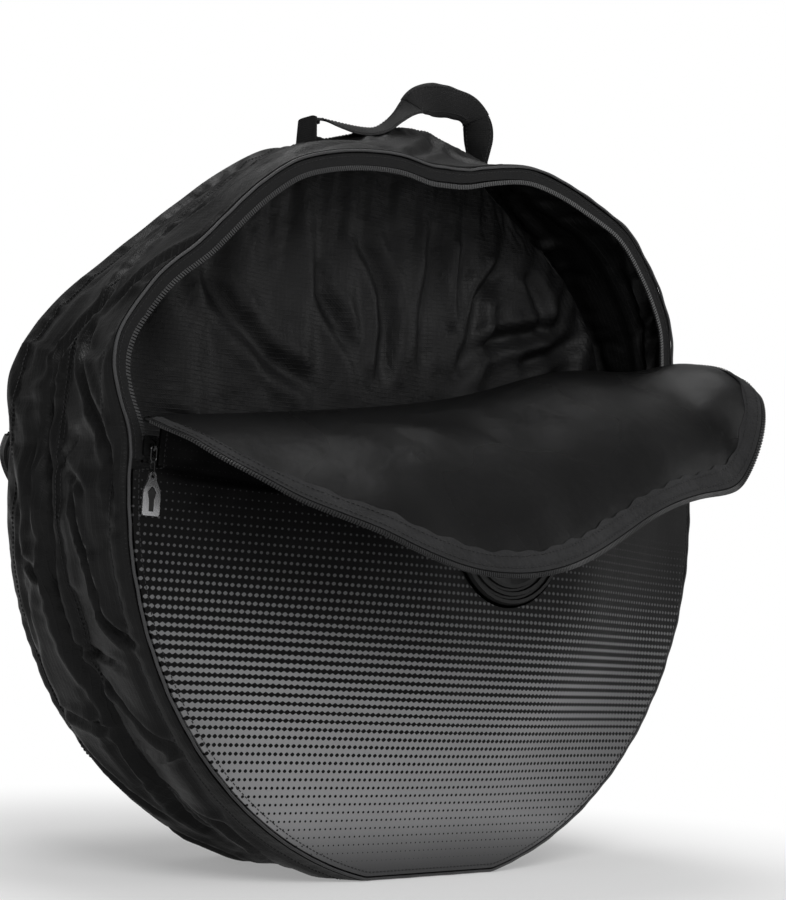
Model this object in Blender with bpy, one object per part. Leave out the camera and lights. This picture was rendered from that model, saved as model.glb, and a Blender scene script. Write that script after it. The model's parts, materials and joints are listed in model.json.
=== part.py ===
"""Round double bike wheel bag, modelled as an assembly of its sewn and moving pieces.

The bag stands on the flattened foot of its gusset. +Z is up, the front side faces -Y
and the zips start at the left, at -X. All values are in metres. The origin is the middle
of the foot. Both flaps are shown unzipped and folded outwards, as when wheels are loaded.
"""
import math

import bmesh
import bpy
from mathutils import Matrix, Vector

# Bag body
RIM_RADIUS = 0.360
BAG_DEPTH = 0.200
FOOT_HALF_WIDTH = 0.080
WALL_THICKNESS = 0.004
WAIST_SAG = 0.004
DIVIDER_THICKNESS = 0.0025
RIM_SEGMENTS = 72

# Seams
SEAT_GAP = 0.0003
PIPING_RADIUS = 0.0022
PIPING_SIDES = 6
FACE_RECESS = 0.0008

# Lower panel and its axle pad
PANEL_THICKNESS = 0.003
PANEL_BULGE = 0.055
PANEL_NOTCH_STEPS = 2
PANEL_FOLD_STEPS = 10
PANEL_RING_SHARES = (0.0, 0.2, 0.4, 0.6, 0.76, 0.88, 0.95, 1.0)
HUB_OFFSET_RIGHT = 0.030
HUB_OFFSET_DOWN = 0.026
PAD_RADIUS = 0.070
PAD_THICKNESS = 0.0045
PAD_GROOVE_DEPTH = 0.0018
PAD_SEGMENTS = 40
# Radius and height of the pad's turned face, from the rim inwards: two grooves, then the bowl
PAD_FACE_SHARES = (
    (1.00, 0.35), (0.975, 1.00), (0.93, 1.00), (0.915, 0.55), (0.885, 0.55), (0.87, 1.00),
    (0.825, 1.00), (0.81, 0.55), (0.78, 0.55), (0.765, 1.00), (0.72, 1.00), (0.64, 0.62),
)
PLATEAU_MARGIN = 0.004

# Fold line of the flaps
FOLD_OFFSET = 0.098
FOLD_TILT = math.radians(10.5)
FOLD_GAP = 0.0005
FOLD_REST = math.radians(110.0)
DROOP_HEIGHT = 0.110
DROOP_GAP = 0.0002
DROOP_REST = math.radians(32.0)

# Flap layers
SHELL_THICKNESS = 0.003
LINING_THICKNESS = 0.001
FLAP_TAPE_WIDTH = 0.0165
SHELL_OVERLAP = 0.0127
FLAP_CORNER_CUT = 0.013
FLAP_ARC_STEP = math.radians(6.0)

# Zip
RIM_TAPE_WIDTH = 0.01015
CHAIN_HALF_GAP = 0.0004
ROW_WIDTH = 0.005
ROW_THICKNESS = 0.003
TAPE_THICKNESS = 0.001
TOOTH_PITCH = 0.012
TOOTH_LENGTH = 0.003
# Where a tooth's root and tip start and end within one pitch, with the height of each point
TOOTH_SHARES = ((0.22, 0.0), (0.30, 1.0), (0.70, 1.0), (0.78, 0.0))
RIM_TAPE_STEPS = 36
STOP_LENGTH = 0.004
STOP_OVERHANG = 0.0005
TAPE_TAIL = 0.006

# Zip slider
SLIDER_LENGTH = 0.018
SLIDER_HALF_WIDTH = 0.0072
SLIDER_PLATE = 0.0016
SLIDER_FLANGE_WIDTH = 0.0013
SLIDER_CLEARANCE = 0.0005
SLIDER_CORNER_CLEARANCE = 0.011
SLIDER_BACK_TAIL = 0.006
# Half outline of the slider seen from the front, from its mouth to its tail
SHIELD_SHARES = (
    (0.55, -0.50), (0.88, -0.45), (1.00, -0.30), (0.97, 0.00), (0.94, 0.30), (0.86, 0.44), (0.60, 0.50),
)
POST_HALF_WIDTH = 0.0012
POST_LENGTH = 0.005
POST_SHIFT = 0.0018
BRIDGE_HALF_WIDTH = 0.0010
BRIDGE_HALF_LENGTH = 0.0055
BRIDGE_THICKNESS = 0.0011
BRIDGE_STEPS = 8
FUSE_DEPTH = 0.0004

# Pull with its two links
LINK_WIRE_RADIUS = 0.0007
LINK_HALF_WIDTH = 0.0027
LINK_LENGTH = 0.013
LINK_ARC_STEPS = 5
LINK_AXIS_HEIGHT = 0.0042
LINK_CLEARANCE = 0.0008
PULL_LENGTH = 0.036
PULL_HALF_WIDTH = 0.0085
PULL_THICKNESS = 0.0020
PULL_EYE_RADIUS = 0.0018
PULL_EYE_WEB = 0.0015
EYE_STEPS = 14
# Half outline of the pull, from its eye to its foot, and the half outline of its slot
PULL_SHARES = ((0.22, 0.00), (0.42, 0.06), (0.50, 0.20), (0.86, 0.36), (1.00, 0.50), (1.00, 0.94), (0.88, 1.00))
SLOT_SHARES = ((0.12, 0.34), (0.50, 0.46), (0.28, 0.66), (0.28, 0.90))

# Carry handle
HANDLE_HALF_SPAN = 0.115
HANDLE_AXIS_RISE = 0.006
HANDLE_RISE = 0.070
STRAP_WIDTH = 0.028
STRAP_THICKNESS = 0.002
STRAP_STEPS = 3
TAB_WIDTH = 0.030
TAB_THICKNESS = 0.003
TAB_TOP_RISE = 0.002
PATCH_HALF_LENGTH = 0.020
PATCH_THICKNESS = 0.0015
PATCH_STEPS = 4
WRAP_WIDTH = 0.038
WRAP_HEIGHT = 0.011
WRAP_FIRST_SHARE = 0.52
WRAP_LAST_SHARE = 0.78
# Middle line of the strap seen from the front: along the span and above the swing axis
STRAP_SHARES = (
    (-1.00, -0.17), (-1.00, -0.08), (-1.00, 0.03), (-0.97, 0.13), (-0.88, 0.19), (-0.62, 0.195), (-0.34, 0.20),
    (-0.12, 0.34), (0.10, 0.66), (0.34, 0.93), (0.58, 1.00), (0.80, 0.90), (0.93, 0.62), (0.985, 0.32),
    (1.00, 0.10), (1.00, -0.08), (1.00, -0.17),
)

# Finishes: colour, roughness and metallic value
FINISHES = {
    "black_ripstop": ((0.016, 0.016, 0.018), 0.62, 0.0),
    "printed_panel": ((0.030, 0.030, 0.032), 0.50, 0.0),
    "satin_lining": ((0.012, 0.012, 0.013), 0.34, 0.0),
    "zip_tape": ((0.030, 0.030, 0.032), 0.80, 0.0),
    "zip_teeth": ((0.060, 0.060, 0.065), 0.38, 0.0),
    "reflective_piping": ((0.330, 0.330, 0.340), 0.45, 0.0),
    "pad_rubber": ((0.020, 0.020, 0.022), 0.48, 0.0),
    "webbing": ((0.022, 0.022, 0.024), 0.75, 0.0),
    "dark_metal": ((0.050, 0.050, 0.055), 0.35, 0.9),
    "bright_metal": ((0.640, 0.640, 0.650), 0.30, 0.9),
}

RIM_HEIGHT = math.sqrt(RIM_RADIUS ** 2 - FOOT_HALF_WIDTH ** 2)
FACE = BAG_DEPTH / 2 - FACE_RECESS
PIPING_REACH = PIPING_RADIUS * math.cos(math.pi / PIPING_SIDES)
GUSSET_END = BAG_DEPTH / 2 - 2 * PIPING_REACH - SEAT_GAP
PIPING_INSET = PIPING_RADIUS + SEAT_GAP
CHORD_SAG = RIM_RADIUS * (1 - math.cos(math.pi / RIM_SEGMENTS))
PANEL_INSET = PIPING_INSET + PIPING_RADIUS + SEAT_GAP + CHORD_SAG
RIM_TAPE_OUTER = RIM_RADIUS - WALL_THICKNESS - SEAT_GAP - CHORD_SAG
RIM_ROW_ROOT = RIM_TAPE_OUTER - RIM_TAPE_WIDTH - SEAT_GAP
CHAIN_RADIUS = RIM_ROW_ROOT - ROW_WIDTH - CHAIN_HALF_GAP
FLAP_ROW_ROOT = CHAIN_RADIUS - CHAIN_HALF_GAP - ROW_WIDTH
FLAP_TAPE_OUTER = FLAP_ROW_ROOT - SEAT_GAP
FLAP_TAPE_INNER = FLAP_TAPE_OUTER - FLAP_TAPE_WIDTH
LINING_RADIUS = FLAP_TAPE_INNER - SEAT_GAP
SHELL_RADIUS = FLAP_TAPE_INNER + SHELL_OVERLAP
LINING_DEPTH = SHELL_THICKNESS + SEAT_GAP
TAPE_MIDDLE = LINING_DEPTH + TAPE_THICKNESS / 2
ROW_FRONT = TAPE_MIDDLE - ROW_THICKNESS / 2
ROW_BACK = TAPE_MIDDLE + ROW_THICKNESS / 2
NOTCH_RADIUS = CHAIN_RADIUS - SLIDER_HALF_WIDTH - SLIDER_CLEARANCE
HUB_RIGHT = HUB_OFFSET_RIGHT
HUB_UP = -HUB_OFFSET_DOWN
PLATEAU_RADIUS = PAD_RADIUS + PLATEAU_MARGIN
LINK_DROP = LINK_LENGTH - 2 * LINK_WIRE_RADIUS - SEAT_GAP
EYE_TOP = LINK_DROP + LINK_LENGTH - LINK_WIRE_RADIUS - SEAT_GAP
PULL_TOP = EYE_TOP - PULL_EYE_WEB
HANDLE_AXIS = RIM_HEIGHT + RIM_RADIUS + HANDLE_AXIS_RISE
STRAP_HALF_SPAN = HANDLE_HALF_SPAN - TAB_THICKNESS / 2 - SEAT_GAP - STRAP_THICKNESS / 2


def fold_end_angle(radius, height):
    """Angle from the fold line's direction to where an arc stands at a height above the fold."""
    return math.asin((height + FOLD_OFFSET) / radius)


SLIDER_REACH = (SLIDER_LENGTH / 2 + SLIDER_CORNER_CLEARANCE) / CHAIN_RADIUS
ROW_END = (SLIDER_LENGTH / 2 + SLIDER_CLEARANCE) / CHAIN_RADIUS
SLIDER_LOCAL_REST = fold_end_angle(CHAIN_RADIUS - CHAIN_HALF_GAP, FOLD_GAP) - SLIDER_REACH
SLIDER_LEFT = math.pi - SLIDER_LOCAL_REST + FOLD_TILT
SLIDER_RIGHT = SLIDER_LOCAL_REST + FOLD_TILT
STOP_SWEEP = (STOP_LENGTH + SEAT_GAP) / CHAIN_RADIUS
TAIL_SWEEP = TAPE_TAIL / CHAIN_RADIUS


def clear_scene():
    """Removes what the scene holds."""
    for old in list(bpy.data.objects):
        bpy.data.objects.remove(old, do_unlink=True)


def make_material(name):
    """Returns the Principled material of a named finish, made once."""
    material = bpy.data.materials.get(name)
    if material:
        return material
    colour, roughness, metallic = FINISHES[name]
    material = bpy.data.materials.new(name)
    material.use_nodes = True
    shader = material.node_tree.nodes["Principled BSDF"]
    shader.inputs["Base Color"].default_value = (*colour, 1.0)
    shader.inputs["Roughness"].default_value = roughness
    shader.inputs["Metallic"].default_value = metallic
    material.diffuse_color = (*colour, 1.0)
    return material


def add_part(name, solid, finish, parent=None, smooth=True):
    """Turns a bmesh into a named object with outward faces and its own finish."""
    bmesh.ops.recalc_face_normals(solid, faces=solid.faces)
    mesh = bpy.data.meshes.new(name)
    solid.to_mesh(mesh)
    solid.free()
    if smooth:
        mesh.shade_smooth()
        mesh.set_sharp_from_angle(angle=math.radians(32.0))
    mesh.materials.append(make_material(finish))
    part = bpy.data.objects.new(name, mesh)
    bpy.context.scene.collection.objects.link(part)
    part.parent = parent
    return part


def add_axis(name, location, rotation, parent=None):
    """Adds an empty that carries the pieces of one moving body."""
    axis = bpy.data.objects.new(name, None)
    axis.empty_display_size = PAD_RADIUS
    axis.location = location
    axis.rotation_euler = rotation
    axis.parent = parent
    bpy.context.scene.collection.objects.link(axis)
    return axis


def combine(part, tool, operation):
    """Joins or cuts a part with a hidden tool solid."""
    tool.hide_render = True
    tool.display_type = "WIRE"
    change = part.modifiers.new(tool.name, "BOOLEAN")
    change.operation = operation
    change.solver = "EXACT"
    change.object = tool


def loft(loops, closed=False):
    """Closed solid through equal loops of points: a ring if closed, else capped at both ends."""
    solid = bmesh.new()
    rows = [[solid.verts.new(point) for point in loop] for loop in loops]
    pairs = list(zip(rows, rows[1:]))
    if closed:
        pairs.append((rows[-1], rows[0]))
    else:
        solid.faces.new(rows[0])
        solid.faces.new(rows[-1])
    for row, following in pairs:
        for index in range(len(row)):
            after = (index + 1) % len(row)
            solid.faces.new((row[index], row[after], following[after], following[index]))
    return solid


def slab(outline, low, high):
    """Solid with its outline in X and Z, between two places along Y."""
    return loft([[Vector((x, y, z)) for x, z in outline] for y in (low, high)])


def bar(outline, low, high):
    """Solid with its outline in Y and Z, between two places along X."""
    return loft([[Vector((x, y, z)) for y, z in outline] for x in (low, high)])


def arc(radius, start, end, step):
    """Points in X and Z of an arc about the origin, from start to end."""
    count = max(1, math.ceil(abs(end - start) / step))
    angles = [start + (end - start) * index / count for index in range(count + 1)]
    return [(radius * math.cos(angle), radius * math.sin(angle)) for angle in angles]


def mirrored(half):
    """Full outline from a half outline at +X, run down one side and up the other."""
    return list(half) + [(-x, z) for x, z in reversed(half)]


def scaled(shares, across, along):
    """Outline points from shares of a half width and of a length."""
    return [(x * across, z * along) for x, z in shares]


def rim_point(angle, inset, lift):
    """Point in X and Z on the bag's rim, set in by inset and cut level above the foot."""
    radius = RIM_RADIUS - inset
    level = RIM_HEIGHT - lift
    if radius * math.sin(angle) < -level:
        radius = -level / math.sin(angle)
    return radius * math.cos(angle), RIM_HEIGHT + radius * math.sin(angle)


def rim_sweep(profile):
    """Ring that carries a closed profile of (inset, lift, y) points round the rim."""
    loops = []
    for index in range(RIM_SEGMENTS):
        angle = 2 * math.pi * index / RIM_SEGMENTS
        loop = []
        for inset, lift, y in profile:
            x, z = rim_point(angle, inset, lift)
            loop.append(Vector((x, y, z)))
        loops.append(loop)
    return loft(loops, closed=True)


def inward(side, depth):
    """Y of a point at a depth behind the face of the side, in a frame that lies in that face."""
    return -side * depth


def build_gusset():
    """Side wall of the bag, drawn in a little between the rims and the divider's seam."""
    quarter = GUSSET_END / 2
    stations = ((-GUSSET_END, 0.0), (-quarter, WAIST_SAG), (0.0, 0.0), (quarter, WAIST_SAG), (GUSSET_END, 0.0))
    outer = [(sag, 0.0, y) for y, sag in stations]
    inner = [(sag + WALL_THICKNESS, WALL_THICKNESS, y) for y, sag in reversed(stations)]
    add_part("gusset", rim_sweep(outer + inner), "black_ripstop")


def build_divider():
    """Cloth wall between the two wheels, sewn round the middle of the gusset."""
    inset = WALL_THICKNESS + SEAT_GAP
    angles = [2 * math.pi * index / RIM_SEGMENTS for index in range(RIM_SEGMENTS)]
    outline = [rim_point(angle, inset, inset) for angle in angles]
    add_part("divider", slab(outline, -DIVIDER_THICKNESS / 2, DIVIDER_THICKNESS / 2), "black_ripstop", smooth=False)


def build_piping(label, side):
    """Light cord sewn round the rim between the gusset and the side panels."""
    centre = side * (BAG_DEPTH / 2 - PIPING_REACH)
    profile = []
    for index in range(PIPING_SIDES):
        turn = 2 * math.pi * index / PIPING_SIDES
        inset = PIPING_INSET + PIPING_RADIUS * math.cos(turn)
        profile.append((inset, inset, centre + PIPING_RADIUS * math.sin(turn)))
    add_part(f"{label}_piping", rim_sweep(profile), "reflective_piping")


def panel_outline():
    """Outline in X and Z, about the rim's centre, of the fixed lower panel with its zip notches."""
    left_end = SLIDER_LEFT + ROW_END + STOP_SWEEP + TAIL_SWEEP
    right_end = SLIDER_RIGHT - ROW_END - STOP_SWEEP - TAIL_SWEEP
    ring = [2 * math.pi * (index / RIM_SEGMENTS - 1) for index in range(RIM_SEGMENTS * 2)]
    between = [angle for angle in reversed(ring) if left_end - 2 * math.pi < angle < right_end]
    points = []
    for angle in [right_end] + between + [left_end]:
        x, z = rim_point(angle, PANEL_INSET, PANEL_INSET)
        points.append((x, z - RIM_HEIGHT))
    fold_end = fold_end_angle(NOTCH_RADIUS, -FOLD_GAP)
    left_fold = math.pi - fold_end + FOLD_TILT
    right_fold = fold_end + FOLD_TILT
    points += arc(NOTCH_RADIUS, left_end, left_fold, (left_end - left_fold) / PANEL_NOTCH_STEPS)
    first = Vector(points[-1])
    right_arc = arc(NOTCH_RADIUS, right_fold, right_end, (right_fold - right_end) / PANEL_NOTCH_STEPS)
    last = Vector(right_arc[0])
    for index in range(1, PANEL_FOLD_STEPS):
        points.append(tuple(first.lerp(last, index / PANEL_FOLD_STEPS)))
    return points + right_arc


def build_lower_panel(label, side):
    """Padded lower panel, pushed outwards by the axle behind its flat middle."""
    hub = Vector((HUB_RIGHT, HUB_UP))
    edge = [Vector(point) for point in panel_outline()]
    front_rows = []
    back_rows = []
    for share in PANEL_RING_SHARES:
        depth = -PANEL_BULGE * (1 + math.cos(math.pi * share)) / 2
        row = [(hub + (point - hub).normalized() * PLATEAU_RADIUS).lerp(point, share) for point in edge]
        front_rows.append([Vector((p.x, -side * depth + side * FACE, p.y + RIM_HEIGHT)) for p in row])
        back = depth + PANEL_THICKNESS
        back_rows.append([Vector((p.x, -side * back + side * FACE, p.y + RIM_HEIGHT)) for p in row])
    add_part(f"{label}_lower_panel", loft(front_rows + back_rows[::-1]), "printed_panel")


def build_axle_pad(label, side):
    """Round moulded pad with a double groove that guards the panel from the axle's end."""
    seat = FACE + PANEL_BULGE + SEAT_GAP
    face = [(share * PAD_RADIUS, height * PAD_THICKNESS) for share, height in PAD_FACE_SHARES]
    groove = PAD_THICKNESS - PAD_GROOVE_DEPTH
    loops = []
    for radius, height in [(PAD_RADIUS, 0.0)] + face:
        level = max(height, groove) if 0.0 < height < PAD_THICKNESS and radius < PAD_RADIUS else height
        loop = []
        for index in range(PAD_SEGMENTS):
            angle = 2 * math.pi * index / PAD_SEGMENTS
            x = HUB_RIGHT + radius * math.cos(angle)
            z = RIM_HEIGHT + HUB_UP + radius * math.sin(angle)
            loop.append(Vector((x, side * (seat + level), z)))
        loops.append(loop)
    add_part(f"{label}_axle_pad", loft(loops), "pad_rubber")


def row_outline(root, tip_way, start, end):
    """Comb outline of one row of teeth, from its root radius towards or away from the centre."""
    neck = root + tip_way * (ROW_WIDTH - TOOTH_LENGTH)
    count = max(1, int((end - start) * CHAIN_RADIUS / TOOTH_PITCH))
    step = (end - start) / count
    toothed = [(neck, start)]
    for index in range(count):
        for share, height in TOOTH_SHARES:
            toothed.append((neck + tip_way * TOOTH_LENGTH * height, start + (index + share) * step))
    toothed.append((neck, end))
    plain = [(root, start + index * step) for index in range(0, count + 1)]
    return [(r * math.cos(a), r * math.sin(a)) for r, a in toothed + plain[::-1]]


def build_rim_zip(label, side, face):
    """Zip tape and teeth on the rim's upper arc, with a stop past each end of the row."""
    left = SLIDER_LEFT + ROW_END
    right = SLIDER_RIGHT - ROW_END
    row = row_outline(RIM_ROW_ROOT, -1, right, left)
    add_part(f"{label}_rim_teeth", slab(row, inward(side, ROW_FRONT), inward(side, ROW_BACK)), "zip_teeth", face, False)
    inner = RIM_ROW_ROOT + SEAT_GAP
    ends = STOP_SWEEP + TAIL_SWEEP / 2
    step = (left - right) / RIM_TAPE_STEPS
    tape = arc(RIM_TAPE_OUTER, right - ends, left + ends, step) + arc(inner, left + ends, right - ends, step)
    depths = (inward(side, LINING_DEPTH), inward(side, LINING_DEPTH + TAPE_THICKNESS))
    add_part(f"{label}_rim_tape", slab(tape, *depths), "zip_tape", face, False)
    for name, start, way in (("left", left, 1), ("right", right, -1)):
        first = start + way * SEAT_GAP / CHAIN_RADIUS
        last = first + way * STOP_LENGTH / CHAIN_RADIUS
        inner_edge = CHAIN_RADIUS + CHAIN_HALF_GAP
        stop = arc(RIM_ROW_ROOT, first, last, STOP_SWEEP) + arc(inner_edge, last, first, STOP_SWEEP)
        depths = (inward(side, ROW_FRONT - STOP_OVERHANG), inward(side, ROW_BACK + STOP_OVERHANG))
        add_part(f"{label}_zip_stop_{name}", slab(stop, *depths), "dark_metal", face, False)


def sheet_outline(radius, low, high=None):
    """Outline, about the fold's middle, of a disc between two heights over the fold line."""
    start = fold_end_angle(radius, low)
    if high is None:
        points = arc(radius, start, math.pi - start, FLAP_ARC_STEP)
    else:
        end = fold_end_angle(radius, high)
        points = mirrored(arc(radius, start, end, FLAP_ARC_STEP))
    return [(x, z - FOLD_OFFSET) for x, z in points]


def band_outline(inner, outer, low, high, way):
    """Outline of one side of a band along the flap's edge, between two heights."""
    outside = arc(outer, fold_end_angle(outer, low), fold_end_angle(outer, high), FLAP_ARC_STEP)
    inside = arc(inner, fold_end_angle(inner, high), fold_end_angle(inner, low), FLAP_ARC_STEP)
    return [(way * x, z - FOLD_OFFSET) for x, z in outside + inside]


def crown_outline(inner, outer, low):
    """Outline of the band over the flap's crown, above a height."""
    first = fold_end_angle(outer, low)
    last = fold_end_angle(inner, low)
    outside = arc(outer, first, math.pi - first, FLAP_ARC_STEP)
    inside = arc(inner, math.pi - last, last, FLAP_ARC_STEP)
    return [(x, z - FOLD_OFFSET) for x, z in outside + inside]


def flap_row(low, high, way):
    """Outline of the flap's teeth between two heights on one side, or over its crown."""
    tip = FLAP_ROW_ROOT + ROW_WIDTH
    start = fold_end_angle(FLAP_ROW_ROOT, low)
    end = math.pi - start if high is None else fold_end_angle(tip, high)
    return [(way * x, z - FOLD_OFFSET) for x, z in row_outline(FLAP_ROW_ROOT, 1, start, end)]


def lowered(outline):
    """Moves an outline from the fold's frame into the droop line's frame."""
    return [(x, z - DROOP_HEIGHT) for x, z in outline]


def build_flap(label, side):
    """Folded flap in two stiff parts: a base at the fold and a tip that droops further."""
    middle = Vector((-math.sin(FOLD_TILT) * FOLD_OFFSET, math.cos(FOLD_TILT) * FOLD_OFFSET))
    place = Vector((middle.x, side * FACE, RIM_HEIGHT + middle.y))
    turn = Matrix.Rotation(-FOLD_TILT, 3, "Y") @ Matrix.Rotation(-side * FOLD_REST, 3, "X")
    fold = add_axis(f"{label}_fold_axis", place, turn.to_euler())
    droop = add_axis(f"{label}_droop_axis", (0, 0, DROOP_HEIGHT), (-side * DROOP_REST, 0, 0), fold)
    shell = (inward(side, 0.0), inward(side, SHELL_THICKNESS))
    lining = (inward(side, LINING_DEPTH), inward(side, LINING_DEPTH + LINING_THICKNESS))
    tape = (inward(side, LINING_DEPTH), inward(side, LINING_DEPTH + TAPE_THICKNESS))
    row = (inward(side, ROW_FRONT), inward(side, ROW_BACK))
    base_top = DROOP_HEIGHT - DROOP_GAP
    tip_foot = DROOP_HEIGHT + DROOP_GAP

    add_part(f"{label}_flap_base_shell", slab(sheet_outline(SHELL_RADIUS, FOLD_GAP, base_top), *shell),
             "printed_panel", fold, False)
    add_part(f"{label}_flap_base_lining", slab(sheet_outline(LINING_RADIUS, FOLD_GAP, base_top), *lining),
             "satin_lining", fold, False)
    add_part(f"{label}_flap_tip_shell", slab(lowered(sheet_outline(SHELL_RADIUS, tip_foot)), *shell),
             "printed_panel", droop, False)
    add_part(f"{label}_flap_tip_lining", slab(lowered(sheet_outline(LINING_RADIUS, tip_foot)), *lining),
             "satin_lining", droop, False)
    for name, way in (("left", -1), ("right", 1)):
        band = band_outline(FLAP_TAPE_INNER, FLAP_TAPE_OUTER, FLAP_CORNER_CUT, base_top, way)
        add_part(f"{label}_flap_tape_{name}", slab(band, *tape), "zip_tape", fold, False)
        teeth = flap_row(FLAP_CORNER_CUT, base_top, way)
        add_part(f"{label}_flap_teeth_{name}", slab(teeth, *row), "zip_teeth", fold, False)
    crown = lowered(crown_outline(FLAP_TAPE_INNER, FLAP_TAPE_OUTER, tip_foot))
    add_part(f"{label}_flap_tape_tip", slab(crown, *tape), "zip_tape", droop, False)
    teeth = lowered(flap_row(tip_foot, None, 1))
    add_part(f"{label}_flap_teeth_tip", slab(teeth, *row), "zip_teeth", droop, False)


def channel_outline(side, web, lip):
    """Slider plate with turned-in edges, in X about the chain and Y: web face, web back, lip end."""
    half = SLIDER_HALF_WIDTH
    inside = half - SLIDER_FLANGE_WIDTH
    back, front = web
    points = [(half, front), (half, lip), (inside, lip), (inside, back)]
    points += [(-x, depth) for x, depth in reversed(points)]
    return [(x, inward(side, depth)) for x, depth in points]


def plate(outline, low, high):
    """Solid with its outline in X and Y, between two places along Z."""
    return loft([[Vector((x, y, z)) for x, y in outline] for z in (low, high)])


def build_slider(label, side, axis):
    """Zip slider: two channelled plates held by a post, with a bridge for the pull's link."""
    half = SLIDER_LENGTH / 2
    front_back = ROW_FRONT - SLIDER_CLEARANCE
    front_face = front_back - SLIDER_PLATE
    back_front = ROW_BACK + SLIDER_CLEARANCE
    back_face = back_front + SLIDER_PLATE
    lip_front = LINING_DEPTH - SLIDER_CLEARANCE
    lip_back = LINING_DEPTH + TAPE_THICKNESS + SLIDER_CLEARANCE
    front = channel_outline(side, (front_back, front_face), lip_front)
    slider = add_part(f"{label}_slider", plate(front, -half, half), "dark_metal", axis)
    back = channel_outline(side, (back_front, back_face), lip_back)
    back_plate = add_part(f"{label}_slider_back", plate(back, -half, SLIDER_BACK_TAIL), "dark_metal", axis)
    shield = mirrored(scaled(SHIELD_SHARES, SLIDER_HALF_WIDTH, SLIDER_LENGTH))
    reach = (inward(side, front_face - SLIDER_PLATE), inward(side, back_face + SLIDER_PLATE))
    trim = add_part(f"{label}_slider_trim", slab(shield, *reach), "dark_metal", axis)
    diamond = [(POST_HALF_WIDTH, 0.0), (0.0, POST_LENGTH / 2), (-POST_HALF_WIDTH, 0.0), (0.0, -POST_LENGTH / 2)]
    shifted = [(x - POST_SHIFT, z - half + POST_LENGTH) for x, z in diamond]
    fused = (inward(side, front_back - FUSE_DEPTH), inward(side, back_front + FUSE_DEPTH))
    post = add_part(f"{label}_slider_post", slab(shifted, *fused), "dark_metal", axis)
    arch = []
    for outset, turns in ((BRIDGE_THICKNESS, 1), (0.0, -1)):
        for index in range(BRIDGE_STEPS + 1):
            angle = math.pi * index / BRIDGE_STEPS
            along = (BRIDGE_HALF_LENGTH - BRIDGE_THICKNESS + outset) * math.cos(angle) * turns
            under = LINK_AXIS_HEIGHT + LINK_WIRE_RADIUS + LINK_CLEARANCE
            rise = (under + outset) * math.sin(angle)
            arch.append((inward(side, front_face + FUSE_DEPTH - rise), along))
    bridge = add_part(f"{label}_slider_bridge", bar(arch, -BRIDGE_HALF_WIDTH, BRIDGE_HALF_WIDTH), "dark_metal", axis)
    for tool in (back_plate, post, trim, bridge):
        tool.location.x = CHAIN_RADIUS
    slider.location.x = CHAIN_RADIUS
    combine(slider, back_plate, "UNION")
    combine(slider, post, "UNION")
    combine(slider, trim, "INTERSECT")
    combine(slider, bridge, "UNION")
    return front_face


def link_path(top, across):
    """Closed stadium path of a chain link that hangs from top, lying along X or along Y."""
    straight = LINK_LENGTH - 2 * LINK_HALF_WIDTH
    points = []
    for centre, begin in ((LINK_HALF_WIDTH + straight, 0.0), (LINK_HALF_WIDTH, math.pi)):
        for index in range(LINK_ARC_STEPS + 1):
            angle = begin + math.pi * index / LINK_ARC_STEPS
            wide = LINK_HALF_WIDTH * math.cos(angle)
            along = top + centre + LINK_HALF_WIDTH * math.sin(angle)
            points.append((wide, 0.0, along) if across else (0.0, wide, along))
    return points


def add_link(name, path, parent):
    """Closed wire link as a bevelled curve."""
    curve = bpy.data.curves.new(name, "CURVE")
    curve.dimensions = "3D"
    curve.bevel_depth = LINK_WIRE_RADIUS
    curve.bevel_resolution = 1
    spline = curve.splines.new("POLY")
    spline.points.add(len(path) - 1)
    for point, place in zip(spline.points, path):
        point.co = (*place, 1.0)
    spline.use_cyclic_u = True
    curve.materials.append(make_material("dark_metal"))
    link = bpy.data.objects.new(name, curve)
    link.parent = parent
    bpy.context.scene.collection.objects.link(link)


def build_pull(label, axis):
    """Two links and a forked pull with a dark insert, hanging from the slider's bridge."""
    add_link(f"{label}_pull_link_upper", link_path(0.0, True), axis)
    add_link(f"{label}_pull_link_lower", link_path(LINK_DROP, False), axis)
    half = PULL_THICKNESS / 2
    body = [(x, z + PULL_TOP) for x, z in mirrored(scaled(PULL_SHARES, PULL_HALF_WIDTH, PULL_LENGTH))]
    pull = add_part(f"{label}_pull", slab(body, -half, half), "bright_metal", axis)
    eye_centre = EYE_TOP + PULL_EYE_RADIUS
    step = 2 * math.pi / EYE_STEPS
    eye = [(x, z + eye_centre) for x, z in arc(PULL_EYE_RADIUS, 0.0, 2 * math.pi - step, step)]
    cutter = add_part(f"{label}_pull_eye", slab(eye, -PULL_THICKNESS, PULL_THICKNESS), "dark_metal", axis)
    slot = [(x, z + PULL_TOP) for x, z in mirrored(scaled(SLOT_SHARES, PULL_HALF_WIDTH, PULL_LENGTH))]
    slot_cutter = add_part(f"{label}_pull_slot", slab(slot, -PULL_THICKNESS, PULL_THICKNESS), "dark_metal", axis)
    combine(pull, cutter, "DIFFERENCE")
    combine(pull, slot_cutter, "DIFFERENCE")
    inner = [(x - math.copysign(SEAT_GAP, x), z + PULL_TOP) for x, z in
             mirrored(scaled(SLOT_SHARES, PULL_HALF_WIDTH, PULL_LENGTH))]
    middle = sum(z for _, z in inner) / len(inner)
    shrink = SEAT_GAP * 2
    insert = [(x, z + math.copysign(shrink, middle - z)) for x, z in inner]
    add_part(f"{label}_pull_insert", slab(insert, -half, half), "pad_rubber", axis)


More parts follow.
